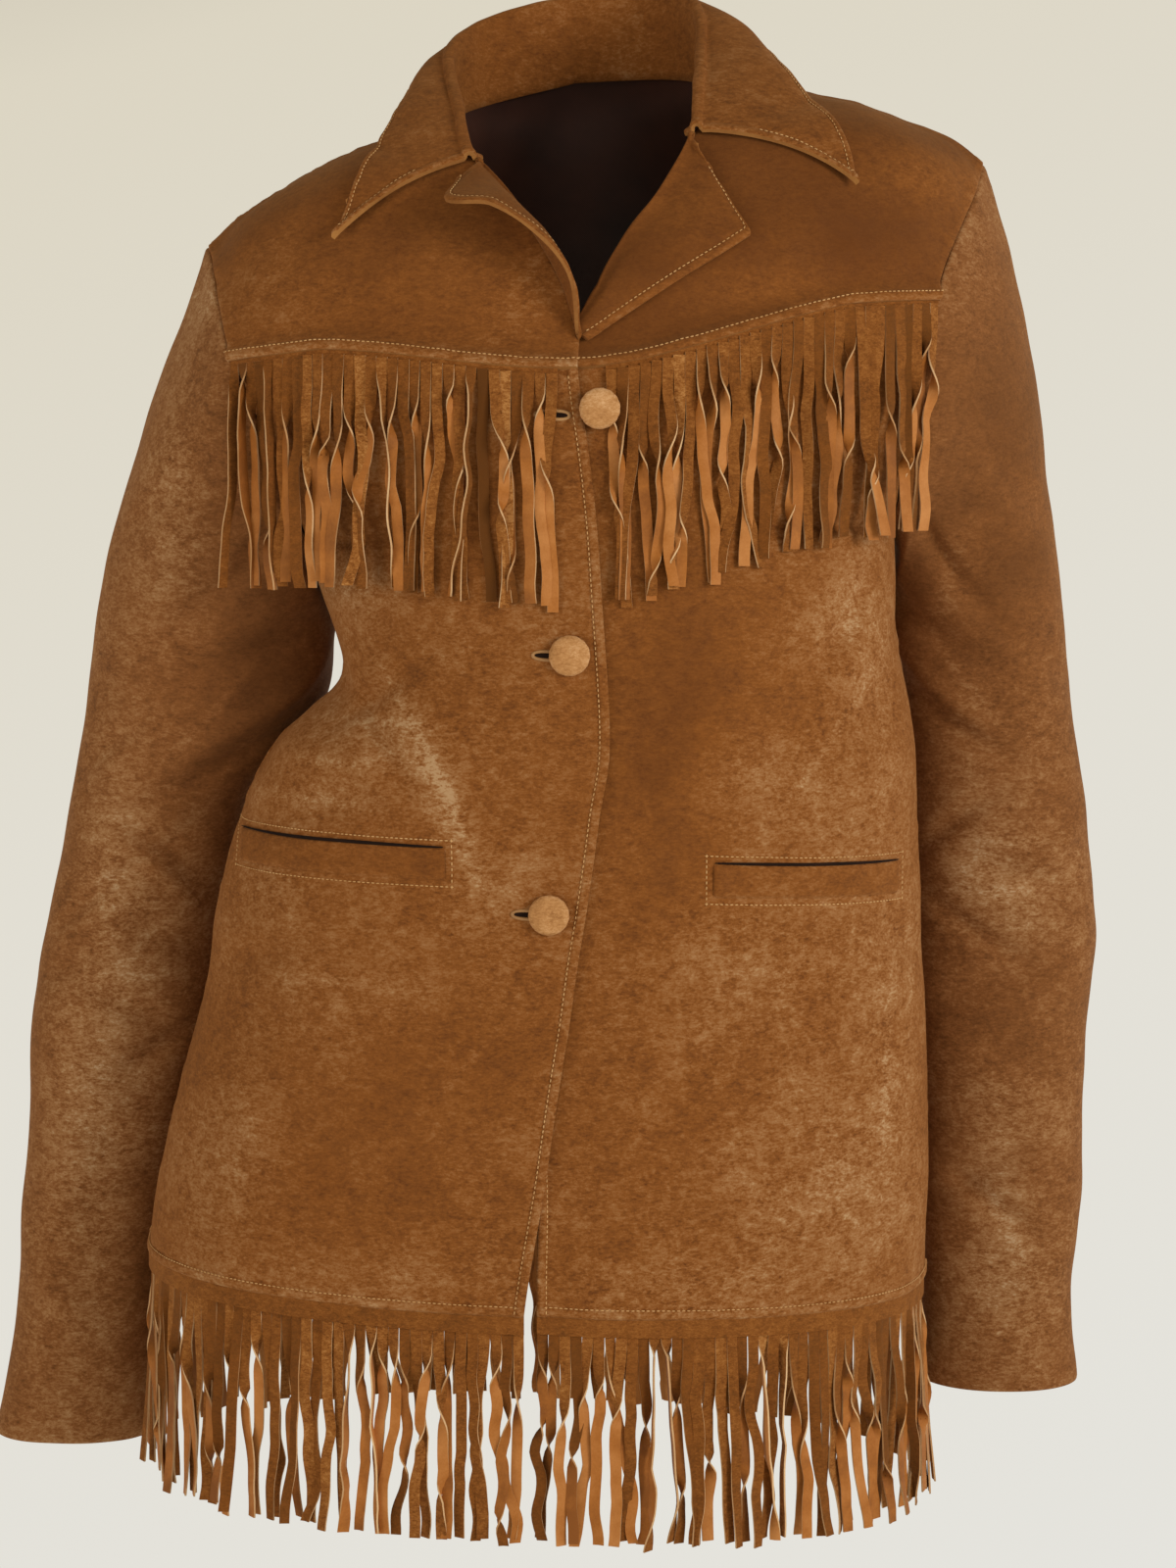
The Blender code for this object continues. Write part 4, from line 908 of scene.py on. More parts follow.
def yokePiece(name, node, grid, corners, seed, shade):
    # lower edge folded and standing proud over the fringe head, the others are seams
    lower = distanceFrom(grid, "first")
    seams = [distanceFrom(grid, edge) for edge in corners]
    relief = edgeRelief(lower, "heavy")
    relief = relief + yokeValues["standsProud"] * (1.0 - smooth((lower - 0.001) / 0.0095))
    # shade is painted shade darkening the whole yoke, whose upward face would catch more light; the
    # lightening along the lower edge is a painted highlight on its folded lip
    tone = shade + toneOf(grid, bodyRubAndShade, seed) + edgeTone(lower, 0.0045, 0.95)
    for number, gap in enumerate(seams):
        relief = relief + edgeRelief(gap, "seam")
        relief = relief + pucker(gap, grid[..., 0] + grid[..., 2], seed + number, 0.0006)
        tone = tone + edgeTone(gap, 0.005, 0.40)
    relief = relief + pucker(lower, grid[..., 0], seed + 7, 0.0007)
    relief = relief + 0.00060 * wobble(grid, seed + 3, 0.055) + 0.00030 * wobble(grid, seed + 4, 0.023)
    drop = (1.0 - smooth(lower / 0.006))[..., None] * np.array([0.0, 0.0, -yokeValues["overhang"]])
    shell = clothShell(name, grid + drop, relief, tone, yokeValues["wall"], chest,
                       [suedeBody, lining, edgeSuede])
    register(shell, node)


def backPiece():
    bottom, underarm = bodyForm["hemHeight"], bodyForm["underarmHeight"]
    heights = bottom + (underarm - bottom) * spaced(underarm - bottom, backValues["step"], fineRows)
    shares = spaced(backValues["across"], backValues["step"], seamRows, seamRows)
    upRows = np.linspace(0, 1, 26)[1:]
    upper = underarm + (backYokeHeight(shares)[None] - underarm) * upRows[:, None]
    grid = np.concatenate([
        pose(backPoint(shares[None], heights[:, None])),
        pose(backPoint(np.broadcast_to(shares, upper.shape), upper)),
    ])
    hem = distanceFrom(grid, "first")
    relief = edgeRelief(hem, "heavy") + pucker(hem, grid[..., 0], 43, 0.0005)
    tone = toneOf(grid, bodyRubAndShade, 44) + edgeTone(hem, 0.008, 0.45)
    for gap in (distanceFrom(grid, "left"), distanceFrom(grid, "right")):
        relief = relief + edgeRelief(gap, "seam") + pucker(gap, grid[..., 2], 45, 0.0007)
        tone = tone + edgeTone(gap, 0.005, 0.35)
    relief = relief + 0.0009 * wobble(grid, 46, 0.085) + 0.0005 * wobble(grid, 47, 0.034)
    shell = clothShell("backBody", grid, relief, tone, backValues["wall"], middle,
                       [suedeBody, lining, edgeSuede])
    register(shell, "back_body")


frontPiece("frontRight", "front_right", frontRight)
frontPiece("frontLeft", "front_left", frontLeft)
backPiece()

yokeAcross = spaced(0.200, yokeValues["step"], seamRows, seamRows)
yokeUp = spaced(0.120, yokeValues["step"], fineRows, seamRows)
backAcross = spaced(0.42, yokeValues["backStep"], seamRows, seamRows)
backUp = spaced(0.15, yokeValues["backStep"], fineRows, seamRows)
yokeEdges = ("left", "right", "last")
# the last number is the painted shade of each yoke
yokePiece("yokeFrontRight", "yoke_front_right",
          frontYokeGrid(frontRight, yokeAcross, yokeUp), yokeEdges, 51, -0.60)
yokePiece("yokeFrontLeft", "yoke_front_left",
          frontYokeGrid(frontLeft, yokeAcross, yokeUp), yokeEdges, 61, -0.95)
yokePiece("yokeBack", "yoke_back",
          backYokeGrid(backAcross, backUp), yokeEdges, 71, -0.40)
print("fronts, back and yokes made")


# sleeves

# height, outer x, inner x, middle depth, half depth
sleeveRight = {
    "side": -1.0,
    "area": 0.191,
    "sections": [
        (-0.290, -0.2770, -0.1455, 0.028, 0.060), (-0.330, -0.2840, -0.1520, 0.036, 0.056),
        (-0.377, -0.2935, -0.1865, 0.043, 0.052), (-0.404, -0.2985, -0.1955, 0.044, 0.050),
        (-0.448, -0.3080, -0.2060, 0.044, 0.048), (-0.504, -0.3185, -0.2120, 0.041, 0.046),
        (-0.560, -0.3210, -0.2260, 0.041, 0.043), (-0.610, -0.3250, -0.2380, 0.040, 0.040),
        (-0.651, -0.3272, -0.2420, 0.038, 0.038), (-0.700, -0.3330, -0.2470, 0.035, 0.035),
        (-0.744, -0.3418, -0.2510, 0.032, 0.033),
    ],
    # height, angle, lean, half length, width, depth
    "folds": [
        (-0.300, 120, 0.5, 0.060, 0.011, -0.0050), (-0.395, 75, -0.5, 0.060, 0.010, -0.0040),
        (-0.470, 60, 0.4, 0.060, 0.010, -0.0035), (-0.455, 110, -0.3, 0.050, 0.010, -0.0035),
        (-0.255, 110, 1.1, 0.050, 0.008, -0.0048), (-0.330, 130, 0.9, 0.055, 0.008, 0.0042),
        (-0.365, 118, 0.7, 0.050, 0.008, -0.0042), (-0.345, 60, 0.9, 0.045, 0.009, -0.0026),
        (-0.415, 95, -0.8, 0.045, 0.006, 0.0032), (-0.432, 70, 0.8, 0.050, 0.006, -0.0035),
        (-0.490, 85, -0.5, 0.050, 0.007, -0.0029), (-0.520, 120, 0.6, 0.045, 0.008, -0.0035),
        (-0.560, 75, -0.4, 0.050, 0.009, -0.0022), (-0.610, 100, 0.4, 0.050, 0.009, -0.0026),
        (-0.655, 60, -0.5, 0.045, 0.010, 0.0022), (-0.420, 250, 0.4, 0.060, 0.010, -0.0056),
        (-0.465, 280, -0.5, 0.055, 0.009, -0.0048), (-0.350, 240, 0.5, 0.055, 0.010, -0.0042),
        (-0.220, 60, 0.8, 0.045, 0.012, -0.0022), (-0.545, 260, 0.3, 0.060, 0.011, -0.0035),
    ],
}
sleeveLeft = {
    "side": 1.0,
    "area": 0.1845,
    "sections": [
        (-0.290, 0.2570, 0.1585, 0.034, 0.056), (-0.330, 0.2626, 0.1645, 0.040, 0.053),
        (-0.390, 0.2720, 0.1680, 0.044, 0.051), (-0.454, 0.2800, 0.1700, 0.046, 0.049),
        (-0.484, 0.2782, 0.1720, 0.045, 0.047), (-0.513, 0.2752, 0.1740, 0.044, 0.045),
        (-0.560, 0.2732, 0.1775, 0.042, 0.042), (-0.600, 0.2745, 0.1800, 0.040, 0.040),
        (-0.660, 0.2670, 0.1820, 0.032, 0.036), (-0.713, 0.2712, 0.1815, 0.030, 0.034),
    ],
    "folds": [
        (-0.290, 125, 0.6, 0.060, 0.011, -0.0050), (-0.430, 70, 0.4, 0.055, 0.010, -0.0040),
        (-0.480, 95, -0.4, 0.055, 0.010, -0.0040), (-0.400, 250, 0.4, 0.060, 0.011, -0.0040),
        (-0.250, 115, 1.2, 0.050, 0.008, -0.0045), (-0.325, 120, 0.8, 0.050, 0.008, 0.0035),
        (-0.350, 100, 0.6, 0.050, 0.008, -0.0032), (-0.395, 120, -0.7, 0.045, 0.007, -0.0035),
        (-0.410, 60, -0.6, 0.045, 0.007, 0.0026), (-0.455, 110, 0.7, 0.045, 0.006, -0.0032),
        (-0.310, 45, 0.5, 0.040, 0.009, -0.0019), (-0.530, 80, 0.5, 0.050, 0.009, -0.0026),
        (-0.590, 110, -0.4, 0.050, 0.009, -0.0042), (-0.612, 95, 0.6, 0.045, 0.007, -0.0035),
        (-0.655, 70, -0.4, 0.045, 0.010, 0.0022), (-0.455, 270, -0.4, 0.055, 0.009, -0.0045),
        (-0.350, 245, 0.5, 0.055, 0.010, -0.0038), (-0.530, 255, 0.4, 0.060, 0.011, -0.0035),
        (-0.215, 55, 0.8, 0.045, 0.012, -0.0022),
    ],
}


def sleeveRing(piece, angle, height):
    outer, inner, middleDepth, halfDepth = np.moveaxis(piece["curve"](height), -1, 0)
    turn = np.radians(angle)
    half, centre = np.abs(outer - inner) / 2.0, (outer + inner) / 2.0
    return np.stack([
        centre + piece["side"] * half * signedPower(np.cos(turn), 0.92),
        middleDepth - halfDepth * signedPower(np.sin(turn), 0.92),
        height + 0.0 * turn,
    ], axis=-1)


def sleeveGrid(piece, around, capRows, downRows):
    side = piece["side"]
    piece["curve"] = curveOf(piece["sections"])
    first, last = piece["sections"][0][0], piece["sections"][-1][0]
    angle = np.linspace(0, 360, around, endpoint=False)
    turn = np.radians(angle)
    start = pose(armhole(angle) * np.array([side, 1.0, 1.0]))
    end = sleeveRing(piece, angle, np.full(around, first))
    outward = 0.5 + 0.5 * np.cos(turn)
    reach = np.linalg.norm(end - start, axis=1)[:, None]
    leave = np.stack([side * (0.40 - 0.05 * outward), -0.10 * np.sin(turn), np.full(around, -0.92)], axis=-1)
    leave = leave * reach
    arrive = (sleeveRing(piece, angle, np.full(around, first - 0.02)) - end) / 0.02 * reach
    t = capRows[:, None, None]
    cap = (2 * t ** 3 - 3 * t ** 2 + 1) * start + (t ** 3 - 2 * t ** 2 + t) * leave
    cap = cap + (3 * t ** 2 - 2 * t ** 3) * end + (t ** 3 - t ** 2) * arrive
    heights = (first + (last - first) * downRows)[:, None]
    lower = sleeveRing(piece, np.broadcast_to(angle, (len(downRows), around)), heights * np.ones((1, around)))
    return np.concatenate([cap, lower[1:]]), angle


def sleeveRelief(piece, grid, angle):
    move = np.zeros(grid.shape[:2])
    for height, middleAngle, lean, length, width, depth in piece["folds"]:
        gap = (angle[None] - middleAngle + 180.0) % 360.0 - 180.0
        run = np.radians(gap) * 0.05
        off = (grid[..., 2] - height) - lean * run
        fade = np.where(np.abs(run) < length, np.cos(np.clip(run / length, -1, 1) * math.pi / 2) ** 2, 0.0)
        move = move + depth * fade * np.exp(-(off / width) ** 2)
    return move


sleeveValues = {"around": 112, "step": 0.0034, "wall": 0.0015, "seamAngle": 215.0, "flat": (0.390, 0.680)}


def sleevePiece(name, node, piece, inside, seed):
    capRows = spaced(0.15, sleeveValues["step"], seamRows)
    downRows = spaced(0.45, sleeveValues["step"], (), (0.0005, 0.0012, 0.0022, 0.0040))
    grid, angle = sleeveGrid(piece, sleeveValues["around"], capRows, downRows)
    head, cuff = distanceFrom(grid, "first"), distanceFrom(grid, "last")
    run = np.radians(angle)[None] * 0.075 + 0.0 * head
    bend = sleeveRelief(piece, grid, angle) * smooth(head / 0.02)
    bend = bend + 0.0009 * wobble(grid, seed + 1, 0.070) * smooth(head / 0.02)
    relief = edgeRelief(head, "seam") + edgeRelief(cuff, "raw") + pucker(head, run, seed, 0.0009)
    relief = relief + 0.00045 * wobble(grid, seed + 2, 0.030)
    # the forearm seam runs down the back of the sleeve as a fine groove
    seamGap = np.abs((angle[None] - sleeveValues["seamAngle"] + 180.0) % 360.0 - 180.0) * 0.0009
    relief = relief - 0.0009 * np.exp(-(seamGap / 0.0013) ** 2)
    tone = toneOf(grid, sleeveRubAndShade, seed + 4) + edgeTone(head, 0.005, 0.40) + edgeTone(cuff, 0.004, 0.30)
    shell = clothShell(name, grid, relief, tone, sleeveValues["wall"], inside,
                       [suedeSleeve, lining, edgeSuede], True, bend)
    register(shell, node)


sleevePiece("sleeveRight", "sleeve_right", sleeveRight, (-0.250, 0.030, -0.450), 81)
sleevePiece("sleeveLeft", "sleeve_left", sleeveLeft, (0.225, 0.030, -0.450), 91)
print("sleeves made")


# surfaces that other pieces lie on

def surfaceTree(names):
    points, faces, start = [], [], 0
    for name in names:
        _, outer, _, closed = surfaces[name]
        points += outer.reshape(-1, 3).tolist()
        faces += (gridQuads(outer.shape[0], outer.shape[1], closed) + start).tolist()
        start = len(points)
    return BVHTree.FromPolygons(points, faces)


def depthOn(tree, x, z, face=-1.0):
    # depth of the nearest cloth seen straight from the front (or back), or None
    hit = tree.ray_cast(Vector((float(x), 2.0 * face, float(z))), Vector((0.0, -face, 0.0)))
    return hit[0].y if hit[0] else None


def depthOr(tree, x, z, fallback):
    found = depthOn(tree, x, z)
    return found if found is not None else fallback


def liftedOver(tree, point, clearance):
    place, normal, _, gap = tree.find_nearest(Vector(point.tolist()))
    if place is None or gap > 0.03:
        return point
    away = np.array(normal)
    middleLine = np.array([0.0, 0.0, -0.15])
    if np.dot(away, np.array(place) - middleLine) < 0:
        away = -away
    rise = float(np.dot(point - np.array(place), away))
    return point + away * max(clearance - rise, 0.0)


yokeTree = surfaceTree(["yokeFrontRight", "yokeFrontLeft", "yokeBack"])


# collar

collarForm = {
    "roll": 0.0032,
    "clearance": 0.0040,
    "rightSteep": 0.013,
    "wall": 0.0021,
    # share from the gorge to the middle of the back: seam, fold and outer edge, x y z each
    "stations": [
        (0.00, 0.0480, -0.0695, -0.0385, 0.0545, -0.0745, -0.0385, 0.1335, -0.0860, -0.0735),
        (0.18, 0.0600, -0.0480, -0.0260, 0.0600, -0.0520, -0.0180, 0.1230, -0.0560, -0.0420),
        (0.36, 0.0690, -0.0230, -0.0150, 0.0650, -0.0210, 0.0035, 0.1090, -0.0220, -0.0100),
        (0.55, 0.0710, 0.0120, -0.0040, 0.0660, 0.0200, 0.0330, 0.0960, 0.0250, 0.0070),
        (0.75, 0.0500, 0.0540, 0.0080, 0.0450, 0.0600, 0.0510, 0.0650, 0.0830, 0.0090),
        (1.00, 0.0000, 0.0740, 0.0160, 0.0000, 0.0760, 0.0560, 0.0000, 0.1070, 0.0050),
    ],
}


def collarGrid():
    curve = curveOf(collarForm["stations"])
    half = spaced(0.24, 0.0030, fineRows)
    stations = [(1.0, share) for share in half] + [(-1.0, share) for share in half[::-1][1:]]
    stand = np.linspace(0, 1, 9)[:-1]
    fall = spaced(0.070, 0.0026, (), fineRows)
    lift = np.array([0.0, 0.0, 1.0])
    grid = []
    for mirror, share in stations:
        row = curve(share)
        seam, fold, edge = row[0:3], row[3:6], row[6:9]
        if mirror < 0:
            steep = collarForm["rightSteep"] * math.sin(math.pi * min(share / 0.8, 1.0))
            edge = edge + np.array([-steep, 0.0, 0.4 * steep])
            pulled = np.array([0.0065, 0.0, -0.0010]) * (1.0 - float(smooth(share / 0.32)))
            seam, fold = seam + pulled, fold + pulled
        # the stand's foot tucks down inside the neck edges of the yokes
        seam = seam - np.array([0.0010, 0.0, 0.0042]) * float(smooth((share - 0.15) / 0.2))
        away = np.array([0.0, 1.0, 0.0])
        if share < 1.0:
            away = unit(np.array([edge[0] - fold[0], edge[1] - fold[1], 0.0]))
        roll = collarForm["roll"]
        inner, outer = fold - away * roll, fold + away * roll
        line = [seam * (1 - k) + inner * k for k in stand]
        for turn in np.linspace(0, math.pi, 9)[:-1]:
            line.append(fold - away * roll * math.cos(turn) + lift * roll * 1.05 * math.sin(turn))
        flip = np.array([mirror, 1.0, 1.0])
        placed = [pose((point * flip)[None])[0] for point in line]
        for k in fall:
            swell = 0.0065 * math.sin(math.pi * k) ** 0.8
            point = (outer * (1 - k) + edge * k + away * swell * 0.6 + lift * swell * 0.8) * flip
            placed.append(liftedOver(yokeTree, pose(point[None])[0], collarForm["clearance"]))
        grid.append(placed)
    return np.array(grid)


collar = collarGrid()
collarEdge = distanceFrom(collar, "right")
collarEnds = [distanceFrom(collar, "first"), distanceFrom(collar, "last")]
collarRelief = edgeRelief(collarEdge, "folded")
collarRelief = collarRelief + pucker(collarEdge, collar[..., 0] + collar[..., 1], 103, 0.0004)
collarTone = -0.25 + toneOf(collar, [], 104) + edgeTone(collarEdge, 0.005, 0.70)
for gap in collarEnds:
    collarRelief = collarRelief + edgeRelief(gap, "folded")
    collarTone = collarTone + edgeTone(gap, 0.005, 0.60)
collarRelief = collarRelief + 0.0006 * wobble(collar, 105, 0.050) + 0.0003 * wobble(collar, 106, 0.020)
collarPiece = clothShell("collarLeaf", collar, collarRelief, collarTone, collarForm["wall"],
                         (0.0, 0.02, -0.1), [suedeBody, suedeBody, edgeSuede])
register(collarPiece, "collar")


# lapels

lapelForms = {
    # share up the roll line: outer edge x and height on the left yoke; corner rows stand close together
    "left": curveOf([
        (0.00, -0.0058, -0.1402), (0.08, -0.0030, -0.1385), (0.25, 0.0110, -0.1290),
        (0.54, 0.0430, -0.1080), (0.855, 0.0757, -0.0874), (0.875, 0.0754, -0.0854),
        (1.00, 0.0550, -0.0520),
    ]),
    # the standing lapel's outer edge x y z, its tip curled over
    "right": curveOf([
        (0.00, -0.0100, -0.1135, -0.1400), (0.25, -0.0135, -0.1235, -0.1100),
        (0.50, -0.0280, -0.1300, -0.0905), (0.80, -0.0540, -0.1280, -0.0735),
        (0.93, -0.0770, -0.1150, -0.0705), (1.00, -0.0715, -0.0915, -0.0590),
    ]),
    "wall": 0.0019,
}
lapelAcross = spaced(0.045, 0.0018, (), fineRows)
lapelDown = spaced(0.110, 0.0020, fineRows, fineRows)


def rolledEdge(root, first, deep):
    # the turn of the cloth from the front's edge up into the lapel
    start = root + np.array([0.0, 0.0014, 0.0])
    out = unit((root - first) * np.array([1.0, 0.0, 1.0]) + np.array([0.0, 0.0, 1e-6]))
    centre = (start + first) / 2.0
    radius = (start - first) / 2.0
    return [centre + radius * math.cos(turn) + out * deep * math.sin(turn)
            for turn in np.linspace(0, math.pi, 8)[:-1]]


def lapelLeftGrid():
    grid = []
    for share in lapelDown:
        root = pose(neckLine(frontLeft, np.array([0.105 + 0.535 * share])))[0]
        edge = lapelForms["left"](share)
        line = []
        for k in lapelAcross:
            x = root[0] + (edge[0] - root[0]) * k
            z = root[2] + (edge[1] - root[2]) * k
            depth = min(depthOr(yokeTree, x, z, root[1]), root[1] + 0.02)
            lift = 0.0027 + 0.0022 * math.sin(math.pi * k) + 0.0003 * k
            blend = float(smooth(k * 4))
            line.append(np.array([x, root[1] * (1 - blend) + depth * blend - lift, z]))
        line = rolledEdge(root, line[0], 0.0028 * float(smooth(share / 0.15))) + line
        grid.append(line)
    return np.array(grid)


def lapelRightGrid():
    grid = []
    for share in lapelDown:
        root = pose(neckLine(frontRight, np.array([0.09 + 0.91 * 0.60 * share])))[0]
        root = root + np.array([0.0002, -0.0030, 0.0])
        edge = lapelForms["right"](share)
        line = []
        for k in lapelAcross:
            bow = math.sin(math.pi * k) * min(0.0045, 0.14 * float(np.linalg.norm(edge - root)))
            line.append(root * (1 - k) + edge * k + np.array([0.7 * bow, -0.5 * bow, 0.5 * bow]))
        deep = 0.0024 * float(smooth(share / 0.15))
        turned = rolledEdge(root + np.array([0.0, 0.0022, 0.0]), line[0], deep)
        grid.append(turned + line)
    return np.array(grid)


def lapelPiece(name, node, grid, inside, seed):
    outerEdge, top = distanceFrom(grid, "right"), distanceFrom(grid, "last")
    relief = edgeRelief(outerEdge, "folded") + pucker(outerEdge, grid[..., 2], seed, 0.0004)
    tone = -0.80 + toneOf(grid, [], seed + 1) + edgeTone(outerEdge, 0.004, 0.75)
    tone = tone + edgeTone(top, 0.004, 0.60)
    relief = relief + edgeRelief(top, "folded") + 0.0004 * wobble(grid, seed + 2, 0.030)
    shell = clothShell(name, grid, relief, tone, lapelForms["wall"], inside,
                       [suedeBody, suedeBody, edgeSuede])
    register(shell, node)


lapelPiece("lapelLeft", "lapel_left", lapelLeftGrid(), chest, 111)
lapelPiece("lapelRight", "lapel_right", lapelRightGrid(), (-0.06, -0.07, -0.15),
           121)
print("collar and lapels made")


# pocket welts

def weltPoints(welt, across, fall, rise):
    outer, inner = welt["ends"]
    x = inner + (outer - inner) * across
    z = welt["tops"][1] + (welt["tops"][0] - welt["tops"][1]) * across - fall
    levelX, height = upright(x, z)
    return pose(bodyPoint(angleAt(levelX, height), height, rise))


def weltPiece(name, node, welt, seed):
    across = spaced(0.110, 0.0022, (0.0005, 0.0011, 0.0020), (0.0005, 0.0011, 0.0020))[None]
    fall = spaced(welt["height"], 0.0012, (0.0004, 0.0009, 0.0015), (0.0004, 0.0009, 0.0015))[:, None]
    grid = weltPoints(welt, across + 0 * fall, fall * welt["height"] + 0 * across, 0.0018)
    top, foot = distanceFrom(grid, "first"), distanceFrom(grid, "last")
    relief = 0.0007 * np.sin(math.pi * np.clip(fall, 0, 1)) + 0.0 * across
    for gap in (top, foot, distanceFrom(grid, "left"), distanceFrom(grid, "right")):
        relief = relief + edgeRelief(gap, "seam") - 0.0003
    relief = relief + 0.0003 * wobble(grid, seed, 0.020)
    tone = -0.45 + toneOf(grid, [], seed + 1) * 0.8
    tone = tone + edgeTone(top, 0.0016, 0.55) + edgeTone(foot, 0.0016, 0.35)
    shell = clothShell(name, grid, relief, tone, 0.0018, middle, [suedeBody, suedeBody, edgeSuede])
    # the mouth above the welt: a near-black strip laid just proud of the front, painted shade for the
    # pocket's opening
    mouthFall = np.linspace(-0.0008, 0.0008, 6)[:, None]
    mouthAcross = np.linspace(0.004, 0.996, 60)[None]
    gape = np.sin(math.pi * mouthAcross) ** 0.35
    mouth = weltPoints(welt, mouthAcross + 0 * mouthFall, mouthFall * gape, 0.0016)
    plain = np.zeros(mouth.shape[:2])
    mouthShade = clothShell(name + "Mouth", mouth, plain, plain, 0.0008, middle, [pocketPaintedShade] * 3)
    register(mouthShade, None)
    register(shell, node)


# near-black painted shade for the pocket mouths and buttonhole slits
pocketPaintedShade = hideMaterial("pocketSlitPaintedShade", [(0.3, "#140a06"), (0.9, "#2a160c")], 0.95, 0.0001, 1200.0)
weltPiece("weltRight", "pocket_welt_right", weltRight, 131)
weltPiece("weltLeft", "pocket_welt_left", weltLeft, 141)
print("pocket welts made")


# covered buttons and their holes

buttonForm = {"radius": 0.01015, "rise": 0.0052, "around": 72}


def coveredButton(name, node, seed):
    low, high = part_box(node)
    centreX, centreZ, back = (low.x + high.x) / 2, (low.z + high.z) / 2, high.y
    rng = np.random.default_rng(seed)
    # flat back, tucked rim, domed face with the press of the shell's edge under the skin
    domed = buttonForm["rise"]
    profile = [(0.0, 0.0), (0.45, 0.0), (0.90, 0.0), (0.97, 0.0004), (1.0, 0.0012), (1.0, 0.0019),
               (0.985, 0.0026), (0.955, 0.0032), (0.90, 0.0038), (0.82, 0.0043), (0.70, 0.0047),
               (0.56, 0.00495), (0.42, 0.0051), (0.28, 0.00518), (0.14, domed), (0.0, domed)]
    turns = np.linspace(0, 2 * math.pi, buttonForm["around"], endpoint=False)
    points, tone = [], []
    for share, rise in profile:
        gathers = 0.00012 * np.sin(turns * 15 + rng.uniform(0, 6)) * share ** 3
        radius = buttonForm["radius"] * share * (1.0 + 0.006 * np.sin(turns * 2 + seed)) + gathers
        dent = 0.00018 * np.sin(turns * 3 + seed * 2.0) * (1 - share) * share * 4
        points.append(np.stack([centreX + radius * np.cos(turns), back - rise + dent + 0 * turns,
                                centreZ + radius * np.sin(turns)], axis=-1))
        tone.append(0.4 * math.exp(-((share - 0.95) / 0.06) ** 2) + 0.25 * np.sin(turns * 1.0 + seed))
    points, tone = np.concatenate(points), np.concatenate(tone)
    faces = gridQuads(len(profile), buttonForm["around"], True)
    piece = meshPiece(name, points, faces, np.zeros(len(faces)), [suedeButton], np.ones(len(faces)),
                      {"tone": tone})
    work = bmesh.new()
    work.from_mesh(piece.data)
    bmesh.ops.remove_doubles(work, verts=work.verts, dist=1e-6)
    bmesh.ops.recalc_face_normals(work, faces=work.faces)
    work.to_mesh(piece.data)
    work.free()
    register(piece, node)


for number, part in enumerate(("top", "middle", "lower")):
    coveredButton("button" + part.capitalize(), "button_" + part, number)
print("buttons made")


# fringes

fringeForm = {
    "length": 0.119,
    "strandWidth": 0.0057,
    "pitch": 0.0057,
    "thick": 0.0009,
    "steps": 34,
    "yokeBand": 0.0036,
    "hemBand": 0.0105,
}


def lineThrough(points, pitch):
    # even places along a line of points, with the run of each
    run = runOf(points)
    count = int(run[-1] / pitch)
    wanted = (np.arange(count) + 0.5) * run[-1] / count
    at = np.stack([np.interp(wanted, run, points[:, axis]) for axis in range(3)], axis=-1)
    ahead = np.stack([np.interp(wanted + 0.002, run, points[:, axis]) for axis in range(3)], axis=-1)
    behind = np.stack([np.interp(wanted - 0.002, run, points[:, axis]) for axis in range(3)], axis=-1)
    return at, unit(ahead - behind), run[-1]


def eased(controls, u):
    # smooth passage through turn angles given at places along the strand
    places, values = zip(*controls)
    index = np.clip(np.searchsorted(places, u, side="right") - 1, 0, len(places) - 2)
    places, values = np.array(places), np.array(values)
    t = smooth((u - places[index]) / (places[index + 1] - places[index]))
    return values[index] + (values[index + 1] - values[index]) * t


def turnStory(rng):
    # how a strand turns from its nap side to its smooth side on the way down
    way = rng.choice([-1.0, 1.0])
    kind = rng.uniform()
    start = rng.uniform(0.05, 0.45)
    if kind < 0.32:
        return [(0, 0), (0.5, rng.uniform(-30, 30)), (1, rng.uniform(-40, 40))]
    if kind < 0.68:
        flip = rng.uniform(0.14, 0.34)
        return [(0, 0), (start, way * rng.uniform(5, 30)),
                (min(start + flip, 0.9), way * rng.uniform(155, 190)), (1, way * rng.uniform(150, 200))]
    if kind < 0.84:
        back = min(start + rng.uniform(0.22, 0.40), 0.80)
        return [(0, 0), (start * 0.7, way * 15), (start + 0.14, way * 170), (back, way * 185),
                (min(back + 0.18, 0.97), way * rng.uniform(310, 350)), (1, way * 355)]
    if kind < 0.92:
        return [(0, 0), (rng.uniform(0.08, 0.2), way * rng.uniform(70, 95)),
                (0.55, way * rng.uniform(75, 100)), (0.8, way * rng.uniform(60, 120)),
                (1, way * rng.uniform(20, 170))]
    late = rng.uniform(0.45, 0.75)
    return [(0, 0), (late, way * 15), (late + 0.16, way * 170), (1, way * 180)]


